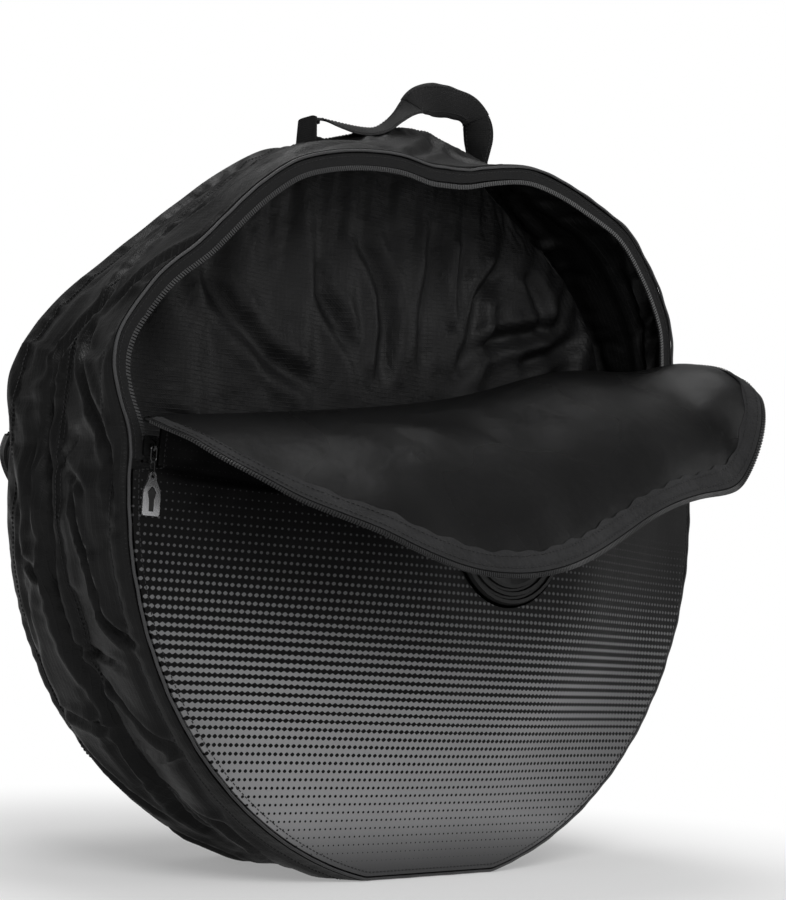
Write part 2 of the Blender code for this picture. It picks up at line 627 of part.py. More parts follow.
def build_zip(label, side):
    """Rim half of one zip, its slider at the left stop, and the pull."""
    centre = (0, side * FACE, RIM_HEIGHT)
    rim = add_axis(f"{label}_rim_centre", centre, (0, 0, 0))
    build_rim_zip(label, side, rim)
    travel = add_axis(f"{label}_slider_axis", centre, (0, -SLIDER_LEFT, 0))
    front_face = build_slider(label, side, travel)
    height = inward(side, front_face - LINK_AXIS_HEIGHT)
    swing = add_axis(f"{label}_pull_axis", (CHAIN_RADIUS, height, 0), (0, SLIDER_LEFT - math.pi, 0), travel)
    build_pull(label, swing)


def smooth_path(points, steps):
    """Points of a Catmull-Rom curve through the given ones."""
    padded = [points[0]] + list(points) + [points[-1]]
    path = []
    for index in range(1, len(padded) - 2):
        before, first, second, after = padded[index - 1:index + 3]
        for part in range(steps):
            t = part / steps
            blend = 2 * first + (second - before) * t + (2 * before - 5 * first + 4 * second - after) * t ** 2
            blend += (3 * first - before - 3 * second + after) * t ** 3
            path.append(blend / 2)
    path.append(padded[-2])
    return path


def strap_stations():
    """Middle points and side directions along the strap, about the swing axis."""
    points = [Vector(pair) for pair in scaled(STRAP_SHARES, STRAP_HALF_SPAN, HANDLE_RISE)]
    path = smooth_path(points, STRAP_STEPS)
    stations = []
    for index, point in enumerate(path):
        before = path[max(index - 1, 0)]
        after = path[min(index + 1, len(path) - 1)]
        way = (after - before).normalized()
        stations.append((point, Vector((-way.y, way.x))))
    return stations


def strap_half_width(height):
    """Half width of the strap, rounded off below the swing axis."""
    half = STRAP_WIDTH / 2
    if height >= 0.0:
        return half
    return math.sqrt(half ** 2 - height ** 2)


def build_handle():
    """Webbing handle with a wrapped grip, swinging between two sewn tabs."""
    axis = add_axis("handle_axis", (0, 0, HANDLE_AXIS), (0, 0, 0))
    stations = strap_stations()
    loops = []
    for point, way in stations:
        half = strap_half_width(point.y)
        corners = ((1, -half), (1, half), (-1, half), (-1, -half))
        loops.append([Vector((point.x + way.x * s * STRAP_THICKNESS / 2, y, point.y + way.y * s * STRAP_THICKNESS / 2))
                      for s, y in corners])
    add_part("handle_strap", loft(loops), "webbing", axis)

    first = round(WRAP_FIRST_SHARE * len(stations))
    last = round(WRAP_LAST_SHARE * len(stations))
    slot_half = STRAP_WIDTH / 2 + SEAT_GAP
    slot_height = STRAP_THICKNESS / 2 + SEAT_GAP
    ring_shares = ((1.0, 0.35), (0.8, 1.0), (-0.8, 1.0), (-1.0, 0.35), (-1.0, -0.35), (-0.8, -1.0), (0.8, -1.0),
                   (1.0, -0.35))
    outer_loops = []
    inner_loops = []
    for point, way in stations[first:last + 1]:
        outer = []
        inner = []
        for y_share, n_share in ring_shares:
            across = n_share * WRAP_HEIGHT / 2
            outer.append(Vector((point.x + way.x * across, y_share * WRAP_WIDTH / 2, point.y + way.y * across)))
            level = math.copysign(slot_height, n_share)
            inner.append(Vector((point.x + way.x * level, y_share * slot_half, point.y + way.y * level)))
        outer_loops.append(outer)
        inner_loops.append(inner)
    add_part("handle_wrap", loft(outer_loops + inner_loops[::-1], closed=True), "webbing", axis)

    for name, way in (("left", -1), ("right", 1)):
        low_radius = RIM_RADIUS + SEAT_GAP
        high_radius = low_radius + PATCH_THICKNESS
        middle = math.acos(way * HANDLE_HALF_SPAN / RIM_RADIUS)
        sweep = PATCH_HALF_LENGTH / RIM_RADIUS
        step = 2 * sweep / PATCH_STEPS
        edge = arc(high_radius, middle - sweep, middle + sweep, step)
        edge += arc(low_radius, middle + sweep, middle - sweep, step)
        patch = [(x, z + RIM_HEIGHT) for x, z in edge]
        add_part(f"handle_patch_{name}", slab(patch, -PATCH_HALF_LENGTH, PATCH_HALF_LENGTH), "webbing", smooth=False)
        inner_x = HANDLE_HALF_SPAN - TAB_THICKNESS / 2
        foot = RIM_HEIGHT + math.sqrt(high_radius ** 2 - inner_x ** 2) + SEAT_GAP
        top = HANDLE_AXIS + TAB_TOP_RISE
        half = TAB_WIDTH / 2
        tab = [(-half, foot), (half, foot), (half, top), (-half, top)]
        centre = way * HANDLE_HALF_SPAN
        add_part(f"handle_tab_{name}", bar(tab, centre - TAB_THICKNESS / 2, centre + TAB_THICKNESS / 2), "webbing",
                 smooth=False)


def main():
    """Builds the whole bag."""
    clear_scene()
    build_gusset()
    build_divider()
    for label, side in (("front", -1), ("rear", 1)):
        build_piping(label, side)
        build_lower_panel(label, side)
        build_axle_pad(label, side)
        build_zip(label, side)
        build_flap(label, side)
    build_handle()


main()
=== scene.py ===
"""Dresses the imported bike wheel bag: slumped cloth walls, printed panels, folded flaps, zips and webbing.

All sizes are in metres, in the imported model's own frame: +Z up, -Y out of the front side.
"""

import json
import logging
import math
import random
from dataclasses import dataclass, field
from enum import Enum
from typing import Callable, Iterable, Optional, Sequence

import bpy
import numpy as np
from mathutils import Matrix, Vector, noise

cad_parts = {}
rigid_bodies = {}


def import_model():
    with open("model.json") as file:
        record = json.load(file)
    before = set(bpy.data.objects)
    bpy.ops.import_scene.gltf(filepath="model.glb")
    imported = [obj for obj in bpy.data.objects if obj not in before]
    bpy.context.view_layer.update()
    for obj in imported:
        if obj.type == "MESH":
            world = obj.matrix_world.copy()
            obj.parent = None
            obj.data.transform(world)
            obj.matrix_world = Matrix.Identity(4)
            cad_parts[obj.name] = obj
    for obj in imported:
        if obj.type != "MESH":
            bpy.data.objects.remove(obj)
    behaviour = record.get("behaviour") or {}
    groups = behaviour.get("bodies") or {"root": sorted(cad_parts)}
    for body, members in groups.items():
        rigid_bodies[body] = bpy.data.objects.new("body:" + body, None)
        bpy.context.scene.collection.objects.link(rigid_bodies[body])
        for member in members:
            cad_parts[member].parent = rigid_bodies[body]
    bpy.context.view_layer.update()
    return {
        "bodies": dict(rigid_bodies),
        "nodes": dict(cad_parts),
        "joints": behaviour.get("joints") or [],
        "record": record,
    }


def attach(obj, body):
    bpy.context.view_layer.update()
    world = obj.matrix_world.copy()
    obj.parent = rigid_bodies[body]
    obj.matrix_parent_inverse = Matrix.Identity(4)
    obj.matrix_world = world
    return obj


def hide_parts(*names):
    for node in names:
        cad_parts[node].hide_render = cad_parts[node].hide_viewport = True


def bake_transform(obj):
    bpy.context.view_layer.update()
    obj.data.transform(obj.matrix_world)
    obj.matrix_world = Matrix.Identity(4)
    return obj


LOG = logging.getLogger("wheel_bag")
Array = np.ndarray
Socket = bpy.types.NodeSocket
Colour = tuple[float, float, float]
FLOAT = "NodeSocketFloat"
VECTOR = "NodeSocketVector"
RIM_RADIUS = 0.360
FOOT_HALF_WIDTH = 0.080
RIM_CENTRE = round(math.sqrt(RIM_RADIUS ** 2 - FOOT_HALF_WIDTH ** 2), 6)
HANDLE_AXIS_RISE = 0.006
TABLE_STEP = 0.5


class Side(Enum):
    """The two faces of the bag, each with the sign of its outward direction along Y."""

    FRONT = -1
    REAR = 1

    @property
    def label(self) -> str:
        """Name that the side's pieces start with."""
        return self.name.lower()


class Weave(Enum):
    """How a cloth's threads show: the pitch of its grid lines in metres."""

    PLAIN = 0.0016
    RIPSTOP = 0.0042
    TAPE = 0.0022
    SATIN = 0.0009


class Lay(Enum):
    """How a cloth lies: the share of its threads that run round the bag, and how they tilt with depth."""

    UPRIGHT = (0.0, 0.0)
    ROUND = (1.0, 0.0)
    HANGING = (0.0, 1.0)


# Shader nodes


class NodeBench:
    """Adds and links the nodes of one tree."""

    def __init__(self, tree: bpy.types.NodeTree) -> None:
        """Keeps the tree that nodes are added to."""
        self.tree = tree

    def add(self, kind: str, **values: object) -> bpy.types.Node:
        """Adds a node.

        Args:
            kind: Type name without its ShaderNode prefix.
            values: Attributes of the node to set.

        Returns:
            The new node.
        """
        node = self.tree.nodes.new("ShaderNode" + kind)
        for key, value in values.items():
            setattr(node, key, value)
        return node

    def link(self, start: Socket, end: Socket) -> None:
        """Links an output to an input."""
        self.tree.links.new(start, end)

    def feed(self, node: bpy.types.Node, index: int, value: object) -> None:
        """Links a socket to an input, or sets the input if the value is a plain one."""
        if isinstance(value, bpy.types.NodeSocket):
            self.link(value, node.inputs[index])
        elif value is not None:
            node.inputs[index].default_value = value

    def math(self, operation: str, first: object, second: object = None) -> Socket:
        """Returns the result of a Math node on values or sockets."""
        node = self.add("Math", operation=operation)
        for index, value in enumerate((first, second)):
            self.feed(node, index, value)
        return node.outputs[0]

    def ramp(self, value: object, low: object, high: object, out_low: float = 0.0, out_high: float = 1.0
             ) -> Socket:
        """Returns a value mapped smoothly from one range to another."""
        node = self.add("MapRange", interpolation_type="SMOOTHSTEP")
        for index, item in enumerate((value, low, high, out_low, out_high)):
            self.feed(node, index, item)
        return node.outputs[0]

    def blend(self, factor: object, first: object, second: object) -> Socket:
        """Returns a value between two."""
        node = self.add("Mix", data_type="FLOAT")
        for index, item in enumerate((factor, None, first, second)):
            self.feed(node, index, item)
        return node.outputs[0]

    def mix(self, factor: object, first: object, second: object) -> Socket:
        """Returns a colour between two."""
        node = self.add("Mix", data_type="RGBA")
        self.feed(node, 0, factor)
        self.feed(node, 6, first)
        self.feed(node, 7, second)
        return node.outputs[2]

    def noise(self, vector: Socket, scale: float, detail: float = 3.0, roughness: float = 0.5) -> Socket:
        """Returns a noise value over a vector."""
        node = self.add("TexNoise")
        self.link(vector, node.inputs["Vector"])
        node.inputs["Scale"].default_value = scale
        node.inputs["Detail"].default_value = detail
        node.inputs["Roughness"].default_value = roughness
        return node.outputs[0]

    def split(self, vector: Socket) -> tuple[Socket, Socket, Socket]:
        """Returns the three parts of a vector."""
        node = self.add("SeparateXYZ")
        self.link(vector, node.inputs[0])
        return node.outputs[0], node.outputs[1], node.outputs[2]

    def wave(self, value: Socket, pitch: object) -> Socket:
        """Returns a cosine of a length, from -1 to 1, that repeats at a pitch."""
        turns = self.math("DIVIDE", value, pitch)
        return self.math("COSINE", self.math("MULTIPLY", turns, math.tau))


def start_group(name: str, inputs: Sequence[tuple[str, str, object]], outputs: Sequence[str]
                ) -> tuple[NodeBench, bpy.types.Node, bpy.types.Node]:
    """Starts a shader node group.

    Args:
        name: Name of the group.
        inputs: Name, socket type and default of each input.
        outputs: Name of each output, all of them values.

    Returns:
        Its bench, its input node and its output node.
    """
    tree = bpy.data.node_groups.new(name, "ShaderNodeTree")
    for title, kind, default in inputs:
        socket = tree.interface.new_socket(title, in_out="INPUT", socket_type=kind)
        if default is not None:
            socket.default_value = default
    for title in outputs:
        tree.interface.new_socket(title, in_out="OUTPUT", socket_type=FLOAT)
    return NodeBench(tree), tree.nodes.new("NodeGroupInput"), tree.nodes.new("NodeGroupOutput")


def build_thread_group() -> bpy.types.NodeTree:
    """Builds the group that gives the height of woven threads and grid lines over a surface."""
    bench, start, end = start_group(
        "woven_threads",
        [("Vector", VECTOR, None), ("Pitch", FLOAT, 0.002), ("Grid", FLOAT, 0.004), ("Wander", FLOAT, 0.0006),
         ("Round", FLOAT, 0.0), ("Tilt", FLOAT, 0.0)],
        ["Height", "Lines"])
    drift = bench.noise(start.outputs["Vector"], 60.0, 2.0)
    shift = bench.math("MULTIPLY", bench.math("SUBTRACT", drift, 0.5), start.outputs["Wander"])
    x, y, z = bench.split(start.outputs["Vector"])
    arc = bench.math("MULTIPLY", bench.math("ARCTAN2", bench.math("SUBTRACT", z, RIM_CENTRE), x), RIM_RADIUS)
    drop = bench.math("MULTIPLY", bench.math("ABSOLUTE", y), start.outputs["Tilt"])
    tilted = bench.math("SUBTRACT", z, drop)
    across = bench.math("ADD", bench.blend(start.outputs["Round"], x, arc), shift)
    along = bench.math("ADD", bench.blend(start.outputs["Round"], tilted, y), shift)
    pitch = start.outputs["Pitch"]
    threads = bench.math("MULTIPLY", bench.wave(across, pitch), bench.wave(along, pitch))
    grid = start.outputs["Grid"]
    warp = bench.wave(along, grid)
    weft = bench.math("MULTIPLY", bench.wave(across, grid), 0.9)
    lines = bench.math("MAXIMUM", warp, weft)
    sharp = bench.ramp(lines, 0.75, 1.0)
    height = bench.math("ADD", bench.math("MULTIPLY", threads, 0.35), sharp)
    bench.link(height, end.inputs["Height"])
    bench.link(sharp, end.inputs["Lines"])
    return bench.tree


def build_handling_group() -> bpy.types.NodeTree:
    """Builds the group that gives the marks of handling: creases, dust and worn patches."""
    bench, start, end = start_group(
        "handling_marks", [("Vector", VECTOR, None), ("Scale", FLOAT, 1.0)], ["Crumple", "Dust", "Patches"])
    scaled = bench.add("VectorMath", operation="SCALE")
    bench.link(start.outputs["Vector"], scaled.inputs[0])
    bench.link(start.outputs["Scale"], scaled.inputs["Scale"])
    vector = scaled.outputs[0]
    folds = bench.noise(vector, 24.0, 4.0, 0.62)
    ridged = bench.math("ABSOLUTE", bench.math("SUBTRACT", folds, 0.5))
    small = bench.noise(vector, 95.0, 3.0, 0.6)
    crumple = bench.math("ADD", bench.math("MULTIPLY", ridged, 2.2), bench.math("MULTIPLY", small, 0.25))
    dust = bench.ramp(bench.noise(vector, 420.0, 2.0, 0.7), 0.60, 0.78)
    patches = bench.ramp(bench.noise(vector, 7.0, 3.0, 0.55), 0.35, 0.70)
    bench.link(crumple, end.inputs["Crumple"])
    bench.link(dust, end.inputs["Dust"])
    bench.link(patches, end.inputs["Patches"])
    return bench.tree


def build_halftone_group() -> bpy.types.NodeTree:
    """Builds the group of a halftone print: dots that grow downwards until only their gaps are left."""
    bench, start, end = start_group(
        "halftone_print",
        [("Vector", VECTOR, None), ("Column Pitch", FLOAT, 0.0057), ("Row Pitch", FLOAT, 0.0073),
         ("Row Slope", FLOAT, 0.0), ("Top", FLOAT, 0.33), ("Bottom", FLOAT, 0.02)],
        ["Mask", "Rise"])
    x, _, z = bench.split(start.outputs["Vector"])
    rise = bench.math("ADD", z, bench.math("MULTIPLY", x, start.outputs["Row Slope"]))
    columns = bench.math("MULTIPLY", bench.wave(x, start.outputs["Column Pitch"]), 0.36)
    rows = bench.math("MULTIPLY", bench.wave(rise, start.outputs["Row Pitch"]), 0.64)
    pattern = bench.math("ADD", columns, rows)
    share = bench.add("MapRange", clamp=True)
    for index, item in enumerate((rise, start.outputs["Top"], start.outputs["Bottom"], 0.98, -1.02)):
        bench.feed(share, index, item)
    edge = bench.math("SUBTRACT", pattern, share.outputs[0])
    bench.link(bench.ramp(edge, -0.06, 0.06), end.inputs["Mask"])
    bench.link(bench.ramp(rise, start.outputs["Bottom"], start.outputs["Top"]), end.inputs["Rise"])
    return bench.tree


class Groups:
    """The shared node groups, each built once."""

    built: dict[str, bpy.types.NodeTree] = {}
    makers: dict[str, Callable[[], bpy.types.NodeTree]] = {
        "woven_threads": build_thread_group,
        "handling_marks": build_handling_group,
        "halftone_print": build_halftone_group,
    }

    @classmethod
    def place(cls, bench: NodeBench, name: str, vector: Socket, **values: float) -> bpy.types.Node:
        """Places a group in a material.

        Args:
            bench: Bench of the material's tree.
            name: Name of the group.
            vector: Place on the surface.
            values: The group's inputs, with underscores for spaces.

        Returns:
            The group's node.
        """
        if name not in cls.built:
            cls.built[name] = cls.makers[name]()
        node = bench.add("Group", node_tree=cls.built[name])
        bench.link(vector, node.inputs["Vector"])
        for key, value in values.items():
            node.inputs[key.replace("_", " ")].default_value = value
        return node


def start_material(name: str) -> tuple[bpy.types.Material, NodeBench, bpy.types.Node, Socket]:
    """Starts a material with its Principled shader and its surface place in metres."""
    material = bpy.data.materials.new(name)
    material.use_nodes = True
    bench = NodeBench(material.node_tree)
    shader = material.node_tree.nodes["Principled BSDF"]
    place = bench.add("TexCoord").outputs["Object"]
    return material, bench, shader, place


def relief(bench: NodeBench, shader: bpy.types.Node, layers: Iterable[tuple[Socket, float, float]]) -> None:
    """Feeds the shader's normal from layers of (height, depth in metres, strength), coarse first."""
    normal: Optional[Socket] = None
    for height, depth, strength in layers:
        bump = bench.add("Bump")
        bump.inputs["Strength"].default_value = strength
        bump.inputs["Distance"].default_value = depth
        bench.link(height, bump.inputs["Height"])
        if normal is not None:
            bench.link(normal, bump.inputs["Normal"])
        normal = bump.outputs[0]
    if normal is not None:
        bench.link(normal, shader.inputs["Normal"])


@dataclass(frozen=True)
class ClothFinish:
    """A woven cloth."""

    name: str
    shade: float
    worn: float
    weave: Weave
    lay: Lay = Lay.UPRIGHT
    roughness: float = 0.62
    specular: float = 0.22
    sheen: float = 0.03
    crumple_depth: float = 0.0012
    thread_depth: float = 0.00018
    mark_scale: float = 1.0

    def material(self) -> bpy.types.Material:
        """Builds the cloth's material."""
        material, bench, shader, place = start_material(self.name)
        turned, tilt = self.lay.value
        threads = Groups.place(bench, "woven_threads", place, Pitch=self.weave.value / 2,
                               Grid=self.weave.value, Round=turned, Tilt=tilt)
        marks = Groups.place(bench, "handling_marks", place, Scale=self.mark_scale)
        plain = (self.shade, self.shade, self.shade * 1.03, 1)
        worn = (self.worn, self.worn, self.worn * 1.03, 1)
        base = bench.mix(bench.math("MULTIPLY", marks.outputs["Patches"], 0.45), plain, worn)
        lit = bench.mix(bench.math("MULTIPLY", threads.outputs["Lines"], 0.25), base, worn)
        dusty = bench.mix(bench.math("MULTIPLY", marks.outputs["Dust"], 0.05), lit, (0.06, 0.06, 0.06, 1))
        bench.link(dusty, shader.inputs["Base Color"])
        rough = bench.ramp(marks.outputs["Patches"], 0.0, 1.0, self.roughness - 0.05, self.roughness + 0.07)
        bench.link(rough, shader.inputs["Roughness"])
        shader.inputs["Sheen Weight"].default_value = self.sheen
        shader.inputs["Sheen Roughness"].default_value = 0.4
        shader.inputs["Specular IOR Level"].default_value = self.specular
        relief(bench, shader, ((marks.outputs["Crumple"], self.crumple_depth, 0.7),
                               (threads.outputs["Height"], self.thread_depth, 0.6)))
        return material


@dataclass(frozen=True)
class PrintFinish:
    """Padded cloth with a halftone gradient of grey dots that grow downwards, their grey dimmed by painted
    shade.
    """

    name: str = "printed_panel_cloth"
    ground: Colour = (0.0016, 0.0016, 0.0017)
    ink: Colour = (0.250, 0.250, 0.254)
    # Painted shade: the dim grey that the ink turns to at the sides, at the foot and at the top.
    shaded_ink: Colour = (0.034, 0.034, 0.035)
    rubbed_ground: Colour = (0.004, 0.004, 0.0042)
    rubbed_ink: Colour = (0.17, 0.17, 0.173)
    top: float = 0.345
    bottom: float = 0.010
    row_slope: float = 0.012

    def material(self) -> bpy.types.Material:
        """Builds the printed cloth's material."""
        material, bench, shader, place = start_material(self.name)
        dots = Groups.place(bench, "halftone_print", place, Top=self.top, Bottom=self.bottom,
                            Row_Slope=self.row_slope)
        marks = Groups.place(bench, "handling_marks", place, Scale=0.8)
        threads = Groups.place(bench, "woven_threads", place, Pitch=0.0007, Grid=0.0014)
        dust = bench.math("MULTIPLY", marks.outputs["Dust"], 0.10)
        worn = bench.math("SUBTRACT", dots.outputs["Mask"], dust)
        # Painted light and shade on the ink: brightest in a painted pool of light left of the middle, it
        # turns to the shaded grey towards the sides, at the foot where the panel curves under, and at the top
        # under the flap.
        x, _, z = bench.split(place)
        off_light_pool = bench.math("ABSOLUTE", bench.math("ADD", x, 0.06))
        side = bench.math("MULTIPLY", bench.ramp(off_light_pool, 0.08, 0.36), 0.6)
        foot = bench.math("MULTIPLY", bench.ramp(z, 0.070, 0.004), 0.85)
        rise = bench.math("MULTIPLY", dots.outputs["Rise"], dots.outputs["Rise"])
        painted_shade = bench.math("MAXIMUM", bench.math("MAXIMUM", side, foot), rise)
        rubbed = bench.math("MULTIPLY", marks.outputs["Patches"], 0.2)
        inked = bench.mix(rubbed, (*self.ink, 1), (*self.rubbed_ink, 1))
        ink_in_painted_light = bench.mix(painted_shade, inked, (*self.shaded_ink, 1))
        ground = bench.mix(bench.math("MULTIPLY", marks.outputs["Patches"], 0.4), (*self.ground, 1),
                           (*self.rubbed_ground, 1))
        bench.link(bench.mix(worn, ground, ink_in_painted_light), shader.inputs["Base Color"])
        bench.link(bench.ramp(dots.outputs["Mask"], 0.0, 1.0, 0.56, 0.66), shader.inputs["Roughness"])
        shader.inputs["Specular IOR Level"].default_value = 0.09
        relief(bench, shader, ((marks.outputs["Crumple"], 0.0007, 0.5),
                               (threads.outputs["Height"], 0.00008, 0.5)))
        return material


@dataclass(frozen=True)
class HardFinish:
    """A moulded plastic, a rubber or a plated metal."""

    name: str
    shade: float
    roughness: float
    metallic: float = 0.0
    specular: float = 0.35
    grain_scale: float = 900.0
    grain_depth: float = 0.00005
    scuff: float = 0.08

    def material(self) -> bpy.types.Material:
        """Builds the material, with fine grain, smears and scuffs."""
        material, bench, shader, place = start_material(self.name)
        marks = Groups.place(bench, "handling_marks", place, Scale=4.0)
        plain = (self.shade, self.shade, self.shade * 1.02, 1)
        scuff = (self.scuff, self.scuff, self.scuff * 1.02, 1)
        scuffed = bench.mix(bench.math("MULTIPLY", marks.outputs["Dust"], 0.20), plain, scuff)
        smear = bench.math("MULTIPLY", marks.outputs["Patches"], 0.10)
        bench.link(bench.mix(smear, scuffed, scuff), shader.inputs["Base Color"])
        shader.inputs["Metallic"].default_value = self.metallic
        shader.inputs["Specular IOR Level"].default_value = self.specular
        rough = bench.ramp(marks.outputs["Patches"], 0.0, 1.0, self.roughness - 0.05, self.roughness + 0.07)
        bench.link(rough, shader.inputs["Roughness"])
        grain = bench.noise(place, self.grain_scale, 2.0)
        relief(bench, shader, ((grain, self.grain_depth, 0.5),))
        return material


class Wardrobe:
    """Every finish of the bag, each material made once."""

    finishes = (
        ClothFinish("gusset_cloth", 0.0030, 0.0085, Weave.RIPSTOP, Lay.ROUND, roughness=0.46, specular=0.13,
                    sheen=0.0, crumple_depth=0.0014, thread_depth=0.00022),
        ClothFinish("divider_cloth", 0.0065, 0.0150, Weave.RIPSTOP, Lay.UPRIGHT, roughness=0.50,
                    specular=0.16, sheen=0.0, crumple_depth=0.0024, thread_depth=0.00030, mark_scale=0.8),
        ClothFinish("satin_lining", 0.0034, 0.0062, Weave.SATIN, Lay.HANGING, roughness=0.32, specular=0.15,
                    sheen=0.0, crumple_depth=0.0016, thread_depth=0.00005, mark_scale=0.4),
        ClothFinish("hem_binding", 0.0190, 0.0420, Weave.PLAIN, Lay.HANGING, roughness=0.80, specular=0.14,
                    sheen=0.02, crumple_depth=0.0022, thread_depth=0.00030, mark_scale=2.6),
        ClothFinish("zip_tape_cloth", 0.0070, 0.0150, Weave.TAPE, Lay.UPRIGHT, roughness=0.76, specular=0.14,
                    sheen=0.02, crumple_depth=0.0008, thread_depth=0.00025, mark_scale=1.6),
        ClothFinish("piping_cloth", 0.0280, 0.0600, Weave.SATIN, Lay.ROUND, roughness=0.46, specular=0.28,
                    sheen=0.02, crumple_depth=0.0004, thread_depth=0.00010, mark_scale=2.0),
        ClothFinish("webbing_cloth", 0.0048, 0.0120, Weave.TAPE, Lay.UPRIGHT, roughness=0.66, specular=0.13,
                    sheen=0.0, crumple_depth=0.0007, thread_depth=0.00045, mark_scale=1.8),
        ClothFinish("sewing_thread", 0.0130, 0.0260, Weave.SATIN, Lay.UPRIGHT, roughness=0.60, specular=0.22,
                    sheen=0.02, crumple_depth=0.0002, thread_depth=0.0001, mark_scale=2.0),
        # Both printed cloths carry painted shade on their ink; the flap lies above the print's top, so its
        # ink is the shaded grey all over.
        PrintFinish(),
        PrintFinish("flap_print_cloth", top=0.05, bottom=-0.25),
        HardFinish("moulded_pad", 0.0026, 0.46, specular=0.13, grain_scale=1400.0, scuff=0.02),
        HardFinish("zip_coil", 0.0160, 0.36, specular=0.30, scuff=0.05),
        HardFinish("light_coil", 0.0330, 0.34, specular=0.35),
        HardFinish("dark_plated_metal", 0.0400, 0.30, 0.9, 0.5),
        HardFinish("bright_plated_metal", 0.6600, 0.24, 0.95, 0.5, scuff=0.30),
        HardFinish("pull_insert", 0.0060, 0.45),
    )
    made: dict[str, bpy.types.Material] = {}

    @classmethod
    def get(cls, name: str) -> bpy.types.Material:
        """Returns the material of a finish."""
        if name not in cls.made:
            finish = next(item for item in cls.finishes if item.name == name)
            cls.made[name] = finish.material()
        return cls.made[name]


# Meshes


def new_piece(name: str, vertices: Array, faces: Sequence[Sequence[int]], finish: str, smooth: bool = True
              ) -> bpy.types.Object:
    """Makes an object from vertices and faces.

    Args:
        name: Name of the piece.
        vertices: Points, one row each.
        faces: Corner numbers of each face.
        finish: Name of its finish.
        smooth: Whether its faces are shaded smooth.

    Returns:
        The object, linked to the scene.
    """
    mesh = bpy.data.meshes.new(name)
    mesh.from_pydata(np.asarray(vertices, float).tolist(), [], [tuple(map(int, f)) for f in faces])
    mesh.update()
    if smooth:
        mesh.shade_smooth()
        mesh.set_sharp_from_angle(angle=math.radians(60.0))
    mesh.materials.append(Wardrobe.get(finish))
    piece = bpy.data.objects.new(name, mesh)
    bpy.context.scene.collection.objects.link(piece)
    return piece


def sheet_normals(points: Array, closed: bool) -> Array:
    """Unit normals of a grid of points, closed along its first direction if asked."""
    if closed:
        along = np.roll(points, -1, axis=0) - np.roll(points, 1, axis=0)
    else:
        along = np.gradient(points, axis=0)
    normals = np.cross(along, np.gradient(points, axis=1))
    size = np.linalg.norm(normals, axis=2, keepdims=True)
    return normals / np.maximum(size, 1e-12)


def sheet_faces(rows: int, columns: int, closed: bool, start: int = 0, flip: bool = False
                ) -> list[tuple[int, ...]]:
    """Faces of a grid of vertices, numbered row by row."""
    faces = []
    for i in range(rows if closed else rows - 1):
        after = (i + 1) % rows
        for j in range(columns - 1):
            face = (start + i * columns + j, start + after * columns + j, start + after * columns + j + 1,
                    start + i * columns + j + 1)
            faces.append(face[::-1] if flip else face)
    return faces


def border_loops(rows: int, columns: int, closed: bool) -> list[list[int]]:
    """Vertex numbers round the border of a grid, in the order of its faces' own edges."""
    if closed:
        return [[i * columns for i in range(rows)], [i * columns + columns - 1 for i in range(rows)][::-1]]
    loop = [i * columns for i in range(rows)]
    loop += [(rows - 1) * columns + j for j in range(1, columns)]
    loop += [i * columns + columns - 1 for i in range(rows - 2, -1, -1)]
    return [loop + list(range(columns - 2, 0, -1))]


def sheet_between(name: str, face: Array, back: Array, finish: str, closed: bool = False) -> bpy.types.Object:
    """Makes a closed sheet of cloth between two grids of points.

    Args:
        name: Name of the piece.
        face: Grid of points on one face, rows by columns by 3.
        back: The same grid on the other face.
        finish: Name of its finish.
        closed: Whether the rows join into a ring.

    Returns:
        The piece.
    """
    rows, columns = face.shape[:2]
    count = rows * columns
    inward = float((sheet_normals(face, closed) * (back - face)).sum()) > 0.0
    faces = sheet_faces(rows, columns, closed, 0, inward)
    faces += sheet_faces(rows, columns, closed, count, not inward)
    for loop in border_loops(rows, columns, closed):
        for first, second in zip(loop, loop[1:] + loop[:1]):
            side = (first, second, count + second, count + first)
            faces.append(side if inward else side[::-1])
    vertices = np.concatenate([face.reshape(-1, 3), back.reshape(-1, 3)])
    return new_piece(name, vertices, faces, finish)


def sweep(name: str, rings: Array, finish: str, closed: bool = False) -> bpy.types.Object:
    """Makes a closed body from a row of rings of points, with flat ends unless the row is closed.

    Args:
        name: Name of the piece.
        rings: Rings by points by 3.
        finish: Name of its finish.
        closed: Whether the last ring joins the first.

    Returns:
        The piece.
    """
    count, sides = rings.shape[:2]
    middle = rings.mean(axis=1)
    way = np.cross(rings[0, 0] - middle[0], rings[0, 1] - middle[0]) @ (middle[1] - middle[0])
    faces = []
    for i in range(count if closed else count - 1):
        after = (i + 1) % count
        for j in range(sides):
            k = (j + 1) % sides
            faces.append((i * sides + j, i * sides + k, after * sides + k, after * sides + j))
    if not closed:
        faces.append(tuple(range(sides))[::-1])
        faces.append(tuple((count - 1) * sides + j for j in range(sides)))
    if way < 0.0:
        faces = [face[::-1] for face in faces]
    return new_piece(name, rings.reshape(-1, 3), faces, finish)


def cord_rings(path: Array, radius: float, sides: int = 8) -> Array:
    """Rings of points round a closed path that lies about the Y axis."""
    tangents = np.roll(path, -1, axis=0) - np.roll(path, 1, axis=0)
    tangents /= np.linalg.norm(tangents, axis=1, keepdims=True)
    first = np.cross(tangents, np.array([0.0, 1.0, 0.0]))
    first /= np.maximum(np.linalg.norm(first, axis=1, keepdims=True), 1e-9)
    second = np.cross(tangents, first)
    turns = np.linspace(0.0, math.tau, sides, endpoint=False)
    return path[:, None] + radius * (first[:, None] * np.cos(turns)[None, :, None]
                                     + second[:, None] * np.sin(turns)[None, :, None])


